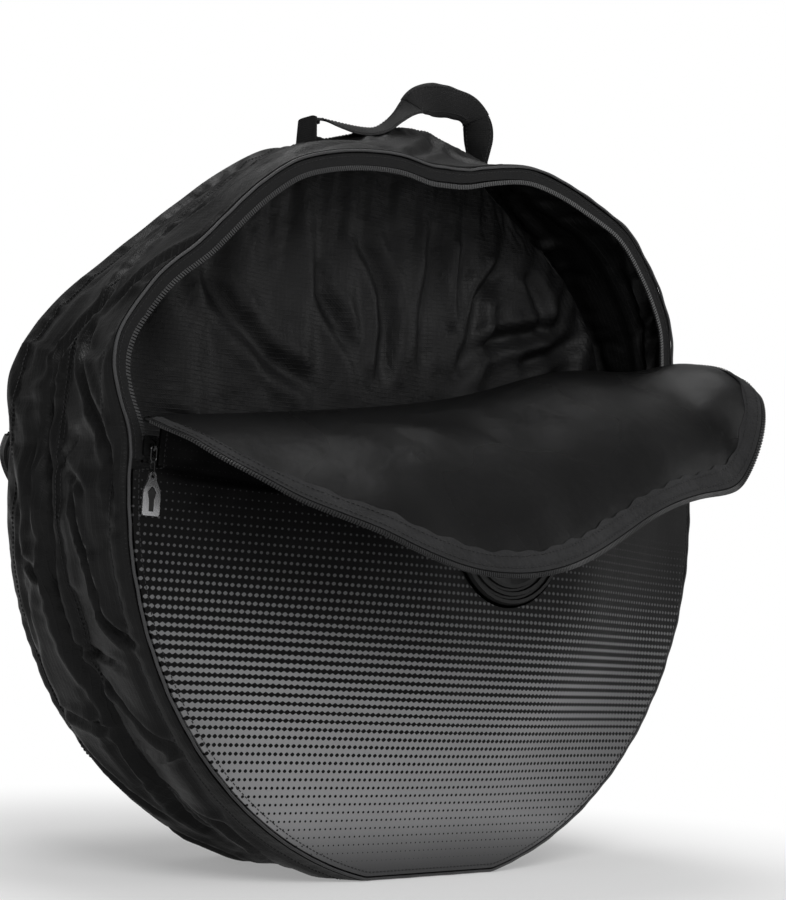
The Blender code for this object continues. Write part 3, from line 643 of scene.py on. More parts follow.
def blocks(name: str, corners: Array, finish: str, smooth: bool = False) -> bpy.types.Object:
    """Makes many small closed six-sided blocks, each from 8 corners: low loop of 4, then high loop of 4."""
    unit = ((3, 2, 1, 0), (4, 5, 6, 7), (0, 1, 5, 4), (1, 2, 6, 5), (2, 3, 7, 6), (3, 0, 4, 7))
    first = corners[0]
    edges = np.cross(first[1] - first[0], first[3] - first[0])
    turned = float((edges * (first[4] - first[0])).sum()) < 0.0
    order = [face[::-1] for face in unit] if turned else list(unit)
    faces = [tuple(8 * i + corner for corner in face) for i in range(len(corners)) for face in order]
    return new_piece(name, corners.reshape(-1, 3), faces, finish, smooth)


@dataclass(frozen=True)
class Thread:
    """Sewing thread, laid in a row of stitches."""

    length: float = 0.0030
    width: float = 0.0009
    height: float = 0.0005
    pitch: float = 0.0044
    finish: str = "sewing_thread"

    def sew(self, name: str, path: Array, out: Array) -> bpy.types.Object:
        """Makes a row of stitches.

        Args:
            name: Name of the piece.
            path: Points that the row follows.
            out: Outward direction at each point.

        Returns:
            The piece.
        """
        steps = np.linalg.norm(np.diff(path, axis=0), axis=1)
        run = np.concatenate([[0.0], np.cumsum(steps)])
        places = np.arange(self.pitch / 2, run[-1] - self.pitch / 2, self.pitch)

        def read(values: Array, where: Array) -> Array:
            """Values at lengths along the path."""
            return np.stack([np.interp(where, run, values[:, k]) for k in range(3)], axis=1)

        up = read(out, places)
        up /= np.linalg.norm(up, axis=1, keepdims=True)
        along = read(path, places + self.length / 2) - read(path, places - self.length / 2)
        across = np.cross(along, up)
        across /= np.linalg.norm(across, axis=1, keepdims=True)
        rows = []
        for level, spread in ((-0.3, 1.0), (1.0, 0.6)):
            for end, way in ((-1, -1), (1, -1), (1, 1), (-1, 1)):
                spot = read(path, places + end * spread * self.length / 2)
                rows.append(spot + across * (way * spread * self.width / 2) + up * (level * self.height))
        corners = np.stack(rows, axis=1)
        corners[..., 2] = np.maximum(corners[..., 2], 0.0)
        return blocks(name, corners, self.finish, True)


@dataclass(frozen=True)
class Ripple:
    """A layer of soft unevenness: its waves in each metre, its seed, and its depth in metres."""

    scale: float | tuple[float, float, float]
    seed: float
    depth: float
    ridged: bool = False

    def over(self, points: Array) -> Array:
        """Offsets at each point of a grid whose points have two or three coordinates."""
        flat = (points * np.array(self.scale)).reshape(-1, points.shape[-1])
        if flat.shape[1] == 2:
            flat = np.concatenate([flat, np.zeros((len(flat), 1))], axis=1)
        values = [noise.noise(Vector((p[0] + self.seed, p[1] - self.seed, p[2]))) for p in flat]
        found = np.array(values).reshape(points.shape[:-1])
        return (np.abs(found) if self.ridged else found) * self.depth


def ripples(layers: Sequence[Ripple], points: Array) -> Array:
    """Sum of some layers of unevenness at a grid of points."""
    return sum(layer.over(points) for layer in layers)


def refine(points: Array, rows: int, columns: int, closed: bool) -> Array:
    """Resamples a grid of points along smooth curves.

    Args:
        points: Grid of points.
        rows: Number of rows wanted.
        columns: Number of columns wanted.
        closed: Whether the rows join into a ring.

    Returns:
        The finer grid.
    """
    for axis, wanted, ring in ((0, rows, closed), (1, columns, False)):
        grid = np.moveaxis(points, axis, 0)
        count = len(grid)
        place = np.arange(wanted) * (count / wanted) if ring else np.linspace(0.0, count - 1, wanted)
        low = np.floor(place).astype(int)
        part = (place - low).reshape(-1, *([1] * (grid.ndim - 1)))
        near = []
        for step in (-1, 0, 1, 2):
            index = (low + step) % count if ring else np.clip(low + step, 0, count - 1)
            near.append(grid[index])
        a, b, c, d = near
        smooth = 2 * b + (c - a) * part + (2 * a - 5 * b + 4 * c - d) * part ** 2
        smooth = (smooth + (d - a + 3 * (b - c)) * part ** 3) / 2
        points = np.moveaxis(smooth, 0, axis)
    return points


def ease(share: Array) -> Array:
    """Smooth step of a share from 0 to 1."""
    share = np.clip(share, 0.0, 1.0)
    return share * share * (3.0 - 2.0 * share)


def strip_area(x: Array, height: Array) -> float:
    """Area of a flat grid in square metres."""
    first = np.stack([x[1:, 1:] - x[:-1, :-1], height[1:, 1:] - height[:-1, :-1]])
    second = np.stack([x[1:, :-1] - x[:-1, 1:], height[1:, :-1] - height[:-1, 1:]])
    return float(np.abs(first[0] * second[1] - first[1] * second[0]).sum() / 2.0)


@dataclass(frozen=True)
class Crease:
    """A fold pressed into cloth along a line of places. Its depth is negative for a ridge."""

    places: tuple[tuple[float, float], ...]
    depth: float
    width: float
    lip: float = 0.45

    def press(self, flat: Array, scale: tuple[float, float]) -> Array:
        """Depth of the fold at each point of a flat grid.

        Args:
            flat: Places in the crease's own units.
            scale: Metres for each unit.

        Returns:
            Depths in metres.
        """
        unit = np.array(scale)
        line = np.array(self.places) * unit
        steps = np.concatenate([[0.0], np.cumsum(np.linalg.norm(np.diff(line, axis=0), axis=1))])
        run = np.linspace(0.0, steps[-1], 64)
        path = np.stack([np.interp(run, steps, line[:, k]) for k in (0, 1)], axis=1)
        for _ in range(4):
            path[1:-1] = (path[:-2] + 2 * path[1:-1] + path[2:]) / 4
        spots = flat * unit
        low = path.min(axis=0) - 4 * self.width
        high = path.max(axis=0) + 4 * self.width
        inside = ((spots >= low) & (spots <= high)).all(axis=-1)
        depth = np.zeros(flat.shape[:-1])
        if not inside.any():
            return depth
        near = spots[inside]
        gaps = np.linalg.norm(near[:, None] - path[None], axis=2)
        index = gaps.argmin(axis=1)
        gap = gaps[np.arange(len(near)), index]
        share = index / (len(run) - 1)
        taper = 0.15 + 0.85 * ease(np.minimum(share, 1.0 - share) / 0.18)
        valley = np.exp(-((gap / self.width) ** 2))
        lips = np.exp(-(((gap - 2.0 * self.width) / self.width) ** 2))
        depth[inside] = self.depth * (valley - self.lip * lips) * taper
        return depth


@dataclass(frozen=True)
class Settling:
    """How a sheet of cloth is let settle before it is sewn in."""

    frames: int = 24
    slack: float = 0.05
    gravity: float = 1.0
    cap: float = 0.020
    bending: float = 0.6
    mass: float = 0.25

    def run(self, points: Array, pinned: Array, closed: bool) -> Array:
        """Lets a grid of points settle as cloth.

        Args:
            points: Grid of points, rows by columns by 3.
            pinned: True for each point that is sewn in place.
            closed: Whether the rows join into a ring.

        Returns:
            The settled grid.
        """
        rows, columns = points.shape[:2]
        mesh = bpy.data.meshes.new("settling")
        mesh.from_pydata(points.reshape(-1, 3).tolist(), [], sheet_faces(rows, columns, closed))
        piece = bpy.data.objects.new("settling", mesh)
        scene = bpy.context.scene
        scene.collection.objects.link(piece)
        group = piece.vertex_groups.new(name="sewn")
        group.add([int(i) for i in np.flatnonzero(pinned.reshape(-1))], 1.0, "REPLACE")
        cloth = piece.modifiers.new("cloth", "CLOTH")
        settings = cloth.settings
        settings.quality = 6
        settings.mass = self.mass
        settings.tension_stiffness = 18.0
        settings.compression_stiffness = 18.0
        settings.shear_stiffness = 6.0
        settings.bending_stiffness = self.bending
        settings.air_damping = 2.0
        settings.vertex_group_mass = "sewn"
        settings.shrink_min = -self.slack
        settings.effector_weights.gravity = self.gravity
        cloth.collision_settings.use_collision = False
        cloth.point_cache.frame_start = 1
        cloth.point_cache.frame_end = self.frames
        for frame in range(1, self.frames + 1):
            scene.frame_set(frame)
        shown = piece.evaluated_get(bpy.context.evaluated_depsgraph_get()).to_mesh()
        settled = np.empty(len(shown.vertices) * 3)
        shown.vertices.foreach_get("co", settled)
        bpy.data.objects.remove(piece, do_unlink=True)
        scene.frame_set(1)
        move = settled.reshape(points.shape) - points
        size = np.linalg.norm(move, axis=2, keepdims=True)
        return points + move * np.minimum(1.0, self.cap / np.maximum(size, 1e-9))


# The bag's shape


def smooth_table(table: Sequence[tuple[float, float]], spread: float = 2.0) -> Array:
    """Turns a table of (degrees, metres) into a smooth ring of values, one per half degree."""
    degrees = np.arange(0.0, 360.0, TABLE_STEP)
    knots = sorted(table)
    values = np.interp(degrees, [k[0] for k in knots], [k[1] for k in knots], period=360.0)
    kernel = 90
    reach = np.arange(-kernel, kernel + 1) * TABLE_STEP
    weights = np.exp(-0.5 * (reach / spread) ** 2)
    weights /= weights.sum()
    padded = np.concatenate([values[-kernel:], values, values[:kernel]])
    return np.convolve(padded, weights, "valid")


@dataclass
class BagShape:
    """The rims, the gusset between them and the slump of their upper arcs."""

    radius: float = RIM_RADIUS
    height: float = RIM_CENTRE
    half_depth: float = 0.100
    face: float = 0.0992
    slider_left: float = 176.989
    slider_right: float = 24.011
    chain_radius: float = 0.33951
    lobe: float = 0.0055
    seam_sink: float = 0.0045
    rim_hold: float = 1.3
    front_slump: tuple[tuple[float, float], ...] = (
        (20, 0.0), (26, 0.001), (30, 0.012), (34, 0.027), (42, 0.033), (51.6, 0.036), (59, 0.021),
        (65, 0.013), (74, 0.0), (81, -0.019), (88.6, -0.037), (97.5, -0.040), (102, -0.031),
        (113, -0.0185), (118.7, -0.0115), (125, -0.004), (141, -0.002), (147, 0.002), (154, 0.020),
        (158.7, 0.027), (163.7, 0.036), (167.5, 0.034), (171.5, 0.019), (174.5, 0.004), (176, 0.0),
        (180, 0.0),
    )
    rear_slump: tuple[tuple[float, float], ...] = (
        (20, 0.0), (28, 0.004), (40, 0.018), (52, 0.020), (62, 0.004), (72, -0.012), (84, -0.004),
        (94, 0.006), (104, 0.010), (114, -0.006), (124, -0.018), (134, -0.021), (144, -0.014),
        (154, 0.004), (163, 0.017), (168, 0.018), (172, 0.006), (175, 0.0), (180, 0.0),
    )
    crest_slump: tuple[tuple[float, float], ...] = (
        (20, 0.0), (35, 0.010), (48, 0.014), (60, 0.006), (66, 0.008), (71, 0.013), (76, 0.022),
        (82, 0.026), (88, 0.021), (94, 0.012), (100, 0.005), (110, 0.002), (120, 0.0), (128, -0.004),
        (140, -0.002), (152, 0.008), (164, 0.016), (172, 0.010), (180, 0.004), (190, 0.0),
    )
    flap_spread: float = 9.0
    rings: dict[str, Array] = field(default_factory=dict)

    def __post_init__(self) -> None:
        """Smooths the slump tables. The flap's edge follows the front rim's, smoothed more."""
        self.rings = {"front": smooth_table(self.front_slump), "rear": smooth_table(self.rear_slump),
                      "crest": smooth_table(self.crest_slump),
                      "flap": smooth_table(self.front_slump, self.flap_spread)}

    def read(self, key: str, angle: Array) -> Array:
        """Slump at angles in radians, from one of the smoothed tables."""
        ring = self.rings[key]
        place = (np.degrees(angle) % 360.0) / TABLE_STEP
        return np.interp(place, np.arange(len(ring) + 1), np.append(ring, ring[0]))

    def slump(self, angle: Array, share: Array) -> Array:
        """Radial offset of the wall.

        Args:
            angle: Angles in radians from +X towards +Z.
            share: Place across the depth, from -1 at the front rim to 1 at the rear rim.

        Returns:
            Offsets in metres.
        """
        front = np.clip(-share, 0.0, 1.0) ** self.rim_hold
        rear = np.clip(share, 0.0, 1.0) ** self.rim_hold
        rims = self.read("front", angle) * front + self.read("rear", angle) * rear
        return rims + self.read("crest", angle) * (1.0 - front - rear)

    def spot(self, angle: Array, inset: Array, y: Array) -> Array:
        """Points on or inside the slumped wall.

        Args:
            angle: Angles in radians.
            inset: Distance inside the outer face.
            y: Place along Y.

        Returns:
            Points, with a last axis of 3.
        """
        angle, inset, y = np.broadcast_arrays(np.asarray(angle, float), inset, y)
        radius = self.radius - inset + self.slump(angle, np.clip(y / self.half_depth, -1.0, 1.0))
        level = self.height - np.maximum(inset, 0.0)
        sine = np.sin(angle)
        low = np.where(sine < -1e-6, level / np.maximum(-sine, 1e-6), np.inf)
        radius = np.minimum(radius, low)
        return np.stack([radius * np.cos(angle), y, self.height + radius * sine], axis=-1)

    def away(self, points: Array) -> Array:
        """Unit directions from the bag's middle line to points."""
        ray = points - np.array([0.0, 0.0, self.height])
        ray[..., 1] = 0.0
        return ray / np.linalg.norm(ray, axis=-1, keepdims=True)


@dataclass
class Gusset:
    """The soft side wall: two lobes with long folds between the rims and the divider's seam."""

    shape: BagShape
    around: int = 600
    across: int = 61
    loose_around: int = 300
    loose_across: int = 31
    half_width: float = 0.0955
    thickness: float = 0.0016
    band: float = 0.80
    seam_reach: float = 0.14
    rim_reach: float = 0.08
    crest_angle: float = 84.0
    crest_reach: float = 30.0
    band_groove: tuple[float, float] = (0.0013, 0.0026)
    seam_groove: tuple[float, float] = (0.0012, 0.0022)
    foot_lift: float = 0.0003
    stitch_gap: float = 0.03
    middle_gap: float = 0.025
    stitch_lift: float = 0.0002
    slack_ripples: tuple[Ripple, ...] = (Ripple(7.0, 3.7, 0.004), Ripple((3.5, 15.0, 3.5), 8.1, 0.006))
    fold_ripples: tuple[Ripple, ...] = (
        Ripple(40.0, 5.1, 0.0006),
        Ripple((3.0, 12.0, 3.0), 9.4, 0.0065),
        Ripple((7.0, 26.0, 7.0), 2.4, 0.0030),
    )
    wrinkle: Ripple = Ripple((2.2, 15.0, 2.2), 3.3, 1.0)
    wrinkle_width: float = 0.12
    wrinkle_depth: float = 0.0034
    long_strays: int = 26
    short_strays: int = 14
    settling: Settling = Settling(frames=26, slack=0.007, gravity=0.5, cap=0.008, bending=0.5)
    creases: tuple[Crease, ...] = (
        Crease(((136, 0.10), (143, 0.05), (149, 0.0), (154, -0.10), (157, 0.0), (160, 0.09), (166, 0.25),
                (171, 0.27), (177, 0.22), (184, 0.16), (192, 0.20)), 0.0085, 0.0065),
        Crease(((186, 0.12), (191, 0.17), (198, 0.25), (206, 0.22), (212, 0.06), (220, 0.10), (228, 0.10),
                (236, 0.22), (246, 0.20)), 0.0085, 0.0055),
        Crease(((158, -0.10), (160, -0.14), (165, -0.27), (171, -0.56), (175, -0.76), (179, -0.84),
                (188, -0.88)), 0.0060, 0.0050),
        Crease(((170, 0.42), (176, 0.46), (184, 0.44), (190, 0.50)), 0.0040, 0.0060),
        Crease(((180, 0.06), (177, -0.25), (175, -0.37)), 0.0035, 0.0035),
        Crease(((180, -0.13), (182, -0.44), (184, -0.53)), 0.0030, 0.0032),
        Crease(((181, -0.30), (187, -0.36), (193, -0.49), (200, -0.54), (203, -0.74), (204, -0.95)),
               0.0075, 0.0038),
        Crease(((132, -0.92), (144, -0.86), (149, -0.60), (155, -0.44), (158, -0.26)), 0.0060, 0.0048),
        Crease(((122, -0.50), (130, -0.45), (136, -0.39), (139, -0.22), (143, 0.0)), 0.0040, 0.0050),
        Crease(((192, 0.62), (193, 0.49), (195, 0.34)), 0.0045, 0.0036),
        Crease(((205, 0.22), (206, -0.16), (207, -0.68)), 0.0045, 0.0040),
        Crease(((208, 0.08), (212, -0.19), (216, -0.44), (221, -0.82)), 0.0060, 0.0045),
        Crease(((221, -0.03), (222, -0.39), (221, -0.85)), -0.0035, 0.0034),
        Crease(((214, 0.80), (216, 0.51), (218, 0.19), (221, 0.12)), 0.0045, 0.0038),
        Crease(((219, 0.80), (224, 0.68), (229, 0.58), (238, 0.44)), 0.0050, 0.0042),
        Crease(((227, 0.14), (231, -0.24), (234, -0.60), (241, -0.62), (254, -0.20)), 0.0055, 0.0042),
        Crease(((238, 0.70), (246, 0.50), (255, 0.45)), 0.0040, 0.0040),
        Crease(((184, -0.12), (192, -0.12), (198, -0.10)), -0.0070, 0.0130, 0.0),
        Crease(((150, 0.55), (160, 0.62), (168, 0.60)), -0.0050, 0.0120, 0.0),
        Crease(((112, -0.30), (120, -0.10), (128, 0.30)), 0.0035, 0.0060),
        Crease(((96, -0.55), (104, -0.40), (112, -0.55), (122, -0.70)), 0.0045, 0.0055),
        Crease(((66, -0.10), (70, -0.50), (72, -0.80)), 0.0045, 0.0050),
        Crease(((84, -0.15), (88, -0.40), (96, -0.62)), 0.0040, 0.0055),
    )
    outer: Optional[Array] = None

    def strays(self) -> list[Crease]:
        """Folds on the sides that the listed ones leave bare."""
        draw = random.Random(11)
        folds = []
        for _ in range(self.long_strays):
            start = draw.uniform(-105.0, 95.0)
            share = draw.uniform(-0.8, 0.8)
            long = draw.random() < 0.75
            sweep_angle = draw.uniform(10.0, 30.0) if long else draw.uniform(2.0, 6.0)
            drift = draw.uniform(-0.25, 0.25) if long else draw.choice((-1, 1)) * draw.uniform(0.35, 0.7)
            places = []
            for step in range(5):
                part = step / 4
                wander = draw.uniform(-0.05, 0.05)
                place = max(-0.93, min(0.93, share + drift * part + wander))
                places.append((start + sweep_angle * part, place))
            folds.append(Crease(tuple(places), draw.uniform(0.003, 0.0065), draw.uniform(0.0038, 0.0062)))
        for _ in range(self.short_strays):
            start = draw.uniform(100.0, 240.0)
            share = draw.uniform(0.2, 0.85)
            places = tuple((start + part * draw.uniform(5.0, 9.0), share + part * draw.uniform(-0.05, 0.05))
                           for part in range(4))
            folds.append(Crease(places, draw.uniform(0.0015, 0.0035), draw.uniform(0.0036, 0.0055)))
        return folds

    def grid(self) -> Array:
        """The wall's outer face."""
        angle = np.linspace(0.0, math.tau, self.loose_around, endpoint=False)[:, None]
        share = np.linspace(-1.0, 1.0, self.loose_across)[None, :]
        points = self.shape.spot(angle, 0.0, share * self.half_width)
        away = self.shape.away(points)
        seam = np.abs(share)
        crest = np.clip(1.0 - np.abs(np.degrees(angle) - self.crest_angle) / self.crest_reach, 0.0, 1.0)
        lobe = self.shape.lobe * np.sin(math.pi * seam)
        lobe = (lobe - self.shape.seam_sink * np.exp(-((seam / self.seam_reach) ** 2))) * (1.0 - crest)
        start = ripples(self.slack_ripples, points)
        points = points + away * (lobe + start * (1.0 - seam ** 4))[..., None]
        pinned = np.zeros(points.shape[:2], bool)
        pinned[:, (0, self.loose_across // 2, -1)] = True
        settled = refine(self.settling.run(points, pinned, True), self.around, self.across, True)
        degrees = np.linspace(0.0, 360.0, self.around, endpoint=False)[:, None]
        flat = np.stack(np.broadcast_arrays(degrees, np.linspace(-1.0, 1.0, self.across)[None, :]), axis=-1)
        scale = (math.radians(1.0) * self.shape.radius, self.half_width)
        press = np.zeros((self.around, self.across))
        for turn in (0.0, -360.0):
            for crease in (*self.creases, *self.strays()):
                press += crease.press(flat + np.array([turn, 0.0]), scale)
        reach = np.abs(flat[..., 1])
        edge = np.clip((1.0 - reach) / self.rim_reach, 0.0, 1.0)
        fine = ripples(self.fold_ripples, settled)
        fine = fine + np.exp(-((self.wrinkle.over(settled) / self.wrinkle_width) ** 2)) * self.wrinkle_depth
        groove = np.zeros_like(reach)
        for (depth, width), place in ((self.band_groove, self.band), (self.seam_groove, 0.0)):
            groove = groove + depth * np.exp(-(((reach - place) * self.half_width / width) ** 2))
        settled = settled - self.shape.away(settled) * ((press + fine) * edge + groove)[..., None]
        settled[..., 2] = np.maximum(settled[..., 2], self.foot_lift)
        return settled

    def over(self, degrees: Array, y: Array, lift: float) -> Array:
        """Points over the finished wall.

        Args:
            degrees: Angles in degrees.
            y: Places along Y.
            lift: Height over the wall's outer face.

        Returns:
            Points, with a last axis of 3.
        """
        degrees, y = np.broadcast_arrays(degrees, y)
        row = degrees / 360.0 * self.around
        column = (y / self.half_width + 1.0) / 2.0 * (self.across - 1)
        i = np.floor(row).astype(int)
        j = np.clip(np.floor(column).astype(int), 0, self.across - 2)
        u, v = (row - i)[..., None], (column - j)[..., None]
        a, b = i % self.around, (i + 1) % self.around
        low = self.outer[a, j] * (1 - v) + self.outer[a, j + 1] * v
        high = self.outer[b, j] * (1 - v) + self.outer[b, j + 1] * v
        points = low * (1 - u) + high * u
        return points + self.shape.away(points) * lift

    def build(self) -> Array:
        """Builds the wall and its seams, and returns its inner middle ring."""
        self.outer = self.grid()
        inner = self.outer - self.shape.away(self.outer) * self.thickness
        wall = sheet_between("gusset_wall", self.outer, inner, "gusset_cloth", True)
        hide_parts("gusset")
        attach(wall, "bag")
        outside = self.band + self.stitch_gap
        for label, share in (("front", -outside), ("rear", outside), ("middle_a", -self.middle_gap),
                             ("middle_b", self.middle_gap)):
            turn = np.linspace(0.0, 360.0, 1200)
            path = self.over(turn, np.full_like(turn, share * self.half_width), self.stitch_lift)
            row = Thread().sew(f"gusset_stitching_{label}", path, self.shape.away(path))
            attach(row, "bag")
        LOG.info("side wall: %d points", self.outer.shape[0] * self.outer.shape[1])
        return inner[:, (self.across - 1) // 2]


@dataclass
class Divider:
    """The cloth wall between the two wheels, hanging in soft folds from its seam."""

    shape: BagShape
    ring: Array
    cells: int = 200
    loose_cells: int = 76
    thickness: float = 0.0012
    seat_gap: float = 0.0004
    press_depth: float = 1.25
    seam_radius: float = 0.36
    seam_reach: float = 0.05
    slack_ripples: tuple[Ripple, ...] = (Ripple(7.0, 21.3, 0.005), Ripple(19.0, 2.2, 0.002))
    fold_ripples: tuple[Ripple, ...] = (Ripple(17.0, 6.0, 0.004, True), Ripple(48.0, 1.0, 0.0008))
    settling: Settling = Settling(frames=24, slack=0.03, gravity=0.9, cap=0.012, bending=0.5)
    creases: tuple[Crease, ...] = (
        Crease(((-0.044, 0.262), (-0.022, 0.241), (-0.005, 0.210), (0.001, 0.173), (-0.004, 0.110)),
               0.0080, 0.0090),
        Crease(((0.160, 0.275), (0.154, 0.261), (0.125, 0.226), (0.116, 0.179), (0.099, 0.130)),
               0.0100, 0.0095),
        Crease(((0.118, 0.150), (0.130, 0.172), (0.159, 0.188), (0.231, 0.207), (0.262, 0.222)),
               0.0080, 0.0085),
        Crease(((0.180, 0.160), (0.230, 0.182), (0.283, 0.206), (0.310, 0.218)), 0.0070, 0.0080),
        Crease(((0.060, 0.300), (0.058, 0.240), (0.050, 0.190), (0.052, 0.130)), 0.0060, 0.0100),
        Crease(((-0.090, 0.240), (-0.085, 0.198), (-0.063, 0.170), (-0.043, 0.140)), 0.0060, 0.0085),
        Crease(((-0.230, 0.200), (-0.190, 0.160), (-0.147, 0.128), (-0.090, 0.100)), 0.0060, 0.0100),
        Crease(((0.190, 0.270), (0.215, 0.240), (0.225, 0.200)), 0.0070, 0.0090),
        Crease(((0.090, 0.290), (0.084, 0.230), (0.088, 0.180)), -0.0060, 0.0080),
        Crease(((-0.260, 0.060), (-0.200, 0.030), (-0.120, 0.020)), 0.0060, 0.0070),
        Crease(((0.280, 0.020), (0.200, -0.020), (0.120, -0.010)), 0.0060, 0.0070),
        Crease(((-0.150, -0.060), (-0.060, -0.120), (0.020, -0.220)), 0.0070, 0.0080),
        Crease(((0.180, -0.080), (0.120, -0.160), (0.100, -0.260)), 0.0070, 0.0080),
    )

    def build(self) -> None:
        """Builds the wall."""
        side = np.linspace(-1.0, 1.0, self.loose_cells)
        u, w = np.meshgrid(side, side, indexing="ij")
        disc_x = u * np.sqrt(1.0 - w * w / 2.0)
        disc_z = w * np.sqrt(1.0 - u * u / 2.0)
        angle = np.arctan2(disc_z, disc_x)
        reach = np.hypot(disc_x, disc_z)
        rise = self.ring[:, 2] - self.shape.height
        ring_angle = np.arctan2(rise, self.ring[:, 0]) % math.tau
        order = ring_angle.argsort()
        ring_radius = np.hypot(self.ring[:, 0], rise)[order]
        radius = np.interp(angle % math.tau, ring_angle[order], ring_radius, period=math.tau) - self.seat_gap
        points = np.stack([radius * reach * np.cos(angle), np.zeros_like(angle),
                           self.shape.height + radius * reach * np.sin(angle)], axis=-1)
        pinned = (np.abs(u) > 0.999) | (np.abs(w) > 0.999)
        points[..., 1] = np.where(pinned, 0.0, ripples(self.slack_ripples, points))
        settled = refine(self.settling.run(points, pinned, False), self.cells, self.cells, False)
        flat = np.stack([settled[..., 0], settled[..., 2] - self.shape.height], axis=-1)
        press = self.press_depth * sum(crease.press(flat, (1.0, 1.0)) for crease in self.creases)
        inside = self.seam_radius - np.hypot(flat[..., 0], flat[..., 1])
        near = np.clip(inside / self.seam_reach, 0.0, 1.0)
        settled[..., 1] = settled[..., 1] + (press + ripples(self.fold_ripples, settled)) * near
        back = settled + np.array([0.0, self.thickness, 0.0])
        wall = sheet_between("divider_wall", settled, back, "divider_cloth")
        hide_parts("divider")
        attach(wall, "bag")
        LOG.info("divider: %d points", self.cells ** 2)


@dataclass
class RimSeam:
    """The piping round one rim."""

    shape: BagShape
    side: Side
    radius: float = 0.0014
    inset: float = 0.0020
    sink: float = 0.0006
    waves: tuple[tuple[float, float], ...] = ((0.0004, 37.0), (0.0003, 83.0))

    def build(self) -> None:
        """Builds the piping, which wanders a little along the seam."""
        angle = np.linspace(0.0, math.tau, 600, endpoint=False)
        wave = sum(depth * np.sin(angle * turns) for depth, turns in self.waves)
        y = self.side.value * (self.shape.half_depth - self.radius - self.sink + wave)
        path = self.shape.spot(angle, self.inset, y)
        piece = sweep(f"{self.side.label}_rim_piping", cord_rings(path, self.radius), "piping_cloth", True)
        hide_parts(f"{self.side.label}_piping")
        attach(piece, "bag")


@dataclass
class FoldLine:
    """The line that a flap folds along, a little bowed, seen from the front."""

    left_x: float = -0.330
    right_x: float = 0.306
    left_rise: float = 0.0416
    middle_rise: float = 0.0925
    right_rise: float = 0.1590
    bow: float = 0.006
    swell: float = 0.018
    swell_x: float = 0.140
    swell_reach: float = 0.110

    def coefficients(self) -> tuple[float, float]:
        """Slope and bend of the line's rise over x."""
        matrix = np.array([[self.left_x, self.left_x ** 2], [self.right_x, self.right_x ** 2]])
        ends = np.array([self.left_rise - self.middle_rise, self.right_rise - self.middle_rise])
        slope, bend = np.linalg.solve(matrix, ends)
        return float(slope), float(bend)

    def rise(self, x: Array) -> Array:
        """Height of the line over the rim's centre."""
        slope, bend = self.coefficients()
        swell = self.swell * np.exp(-(((x - self.swell_x) / self.swell_reach) ** 2))
        return self.middle_rise + slope * x + bend * x * x + swell

    def out(self, x: Array) -> Array:
        """How far the line stands out of the face."""
        share = (x - self.left_x) / (self.right_x - self.left_x)
        return self.bow * np.clip(4.0 * share * (1.0 - share), 0.0, 1.0)

    def frame(self) -> tuple[Array, Array]:
        """Directions in X and Z along the line and up across it."""
        slope = math.atan2(self.right_rise - self.left_rise, self.right_x - self.left_x)
        return np.array([math.cos(slope), math.sin(slope)]), np.array([-math.sin(slope), math.cos(slope)])


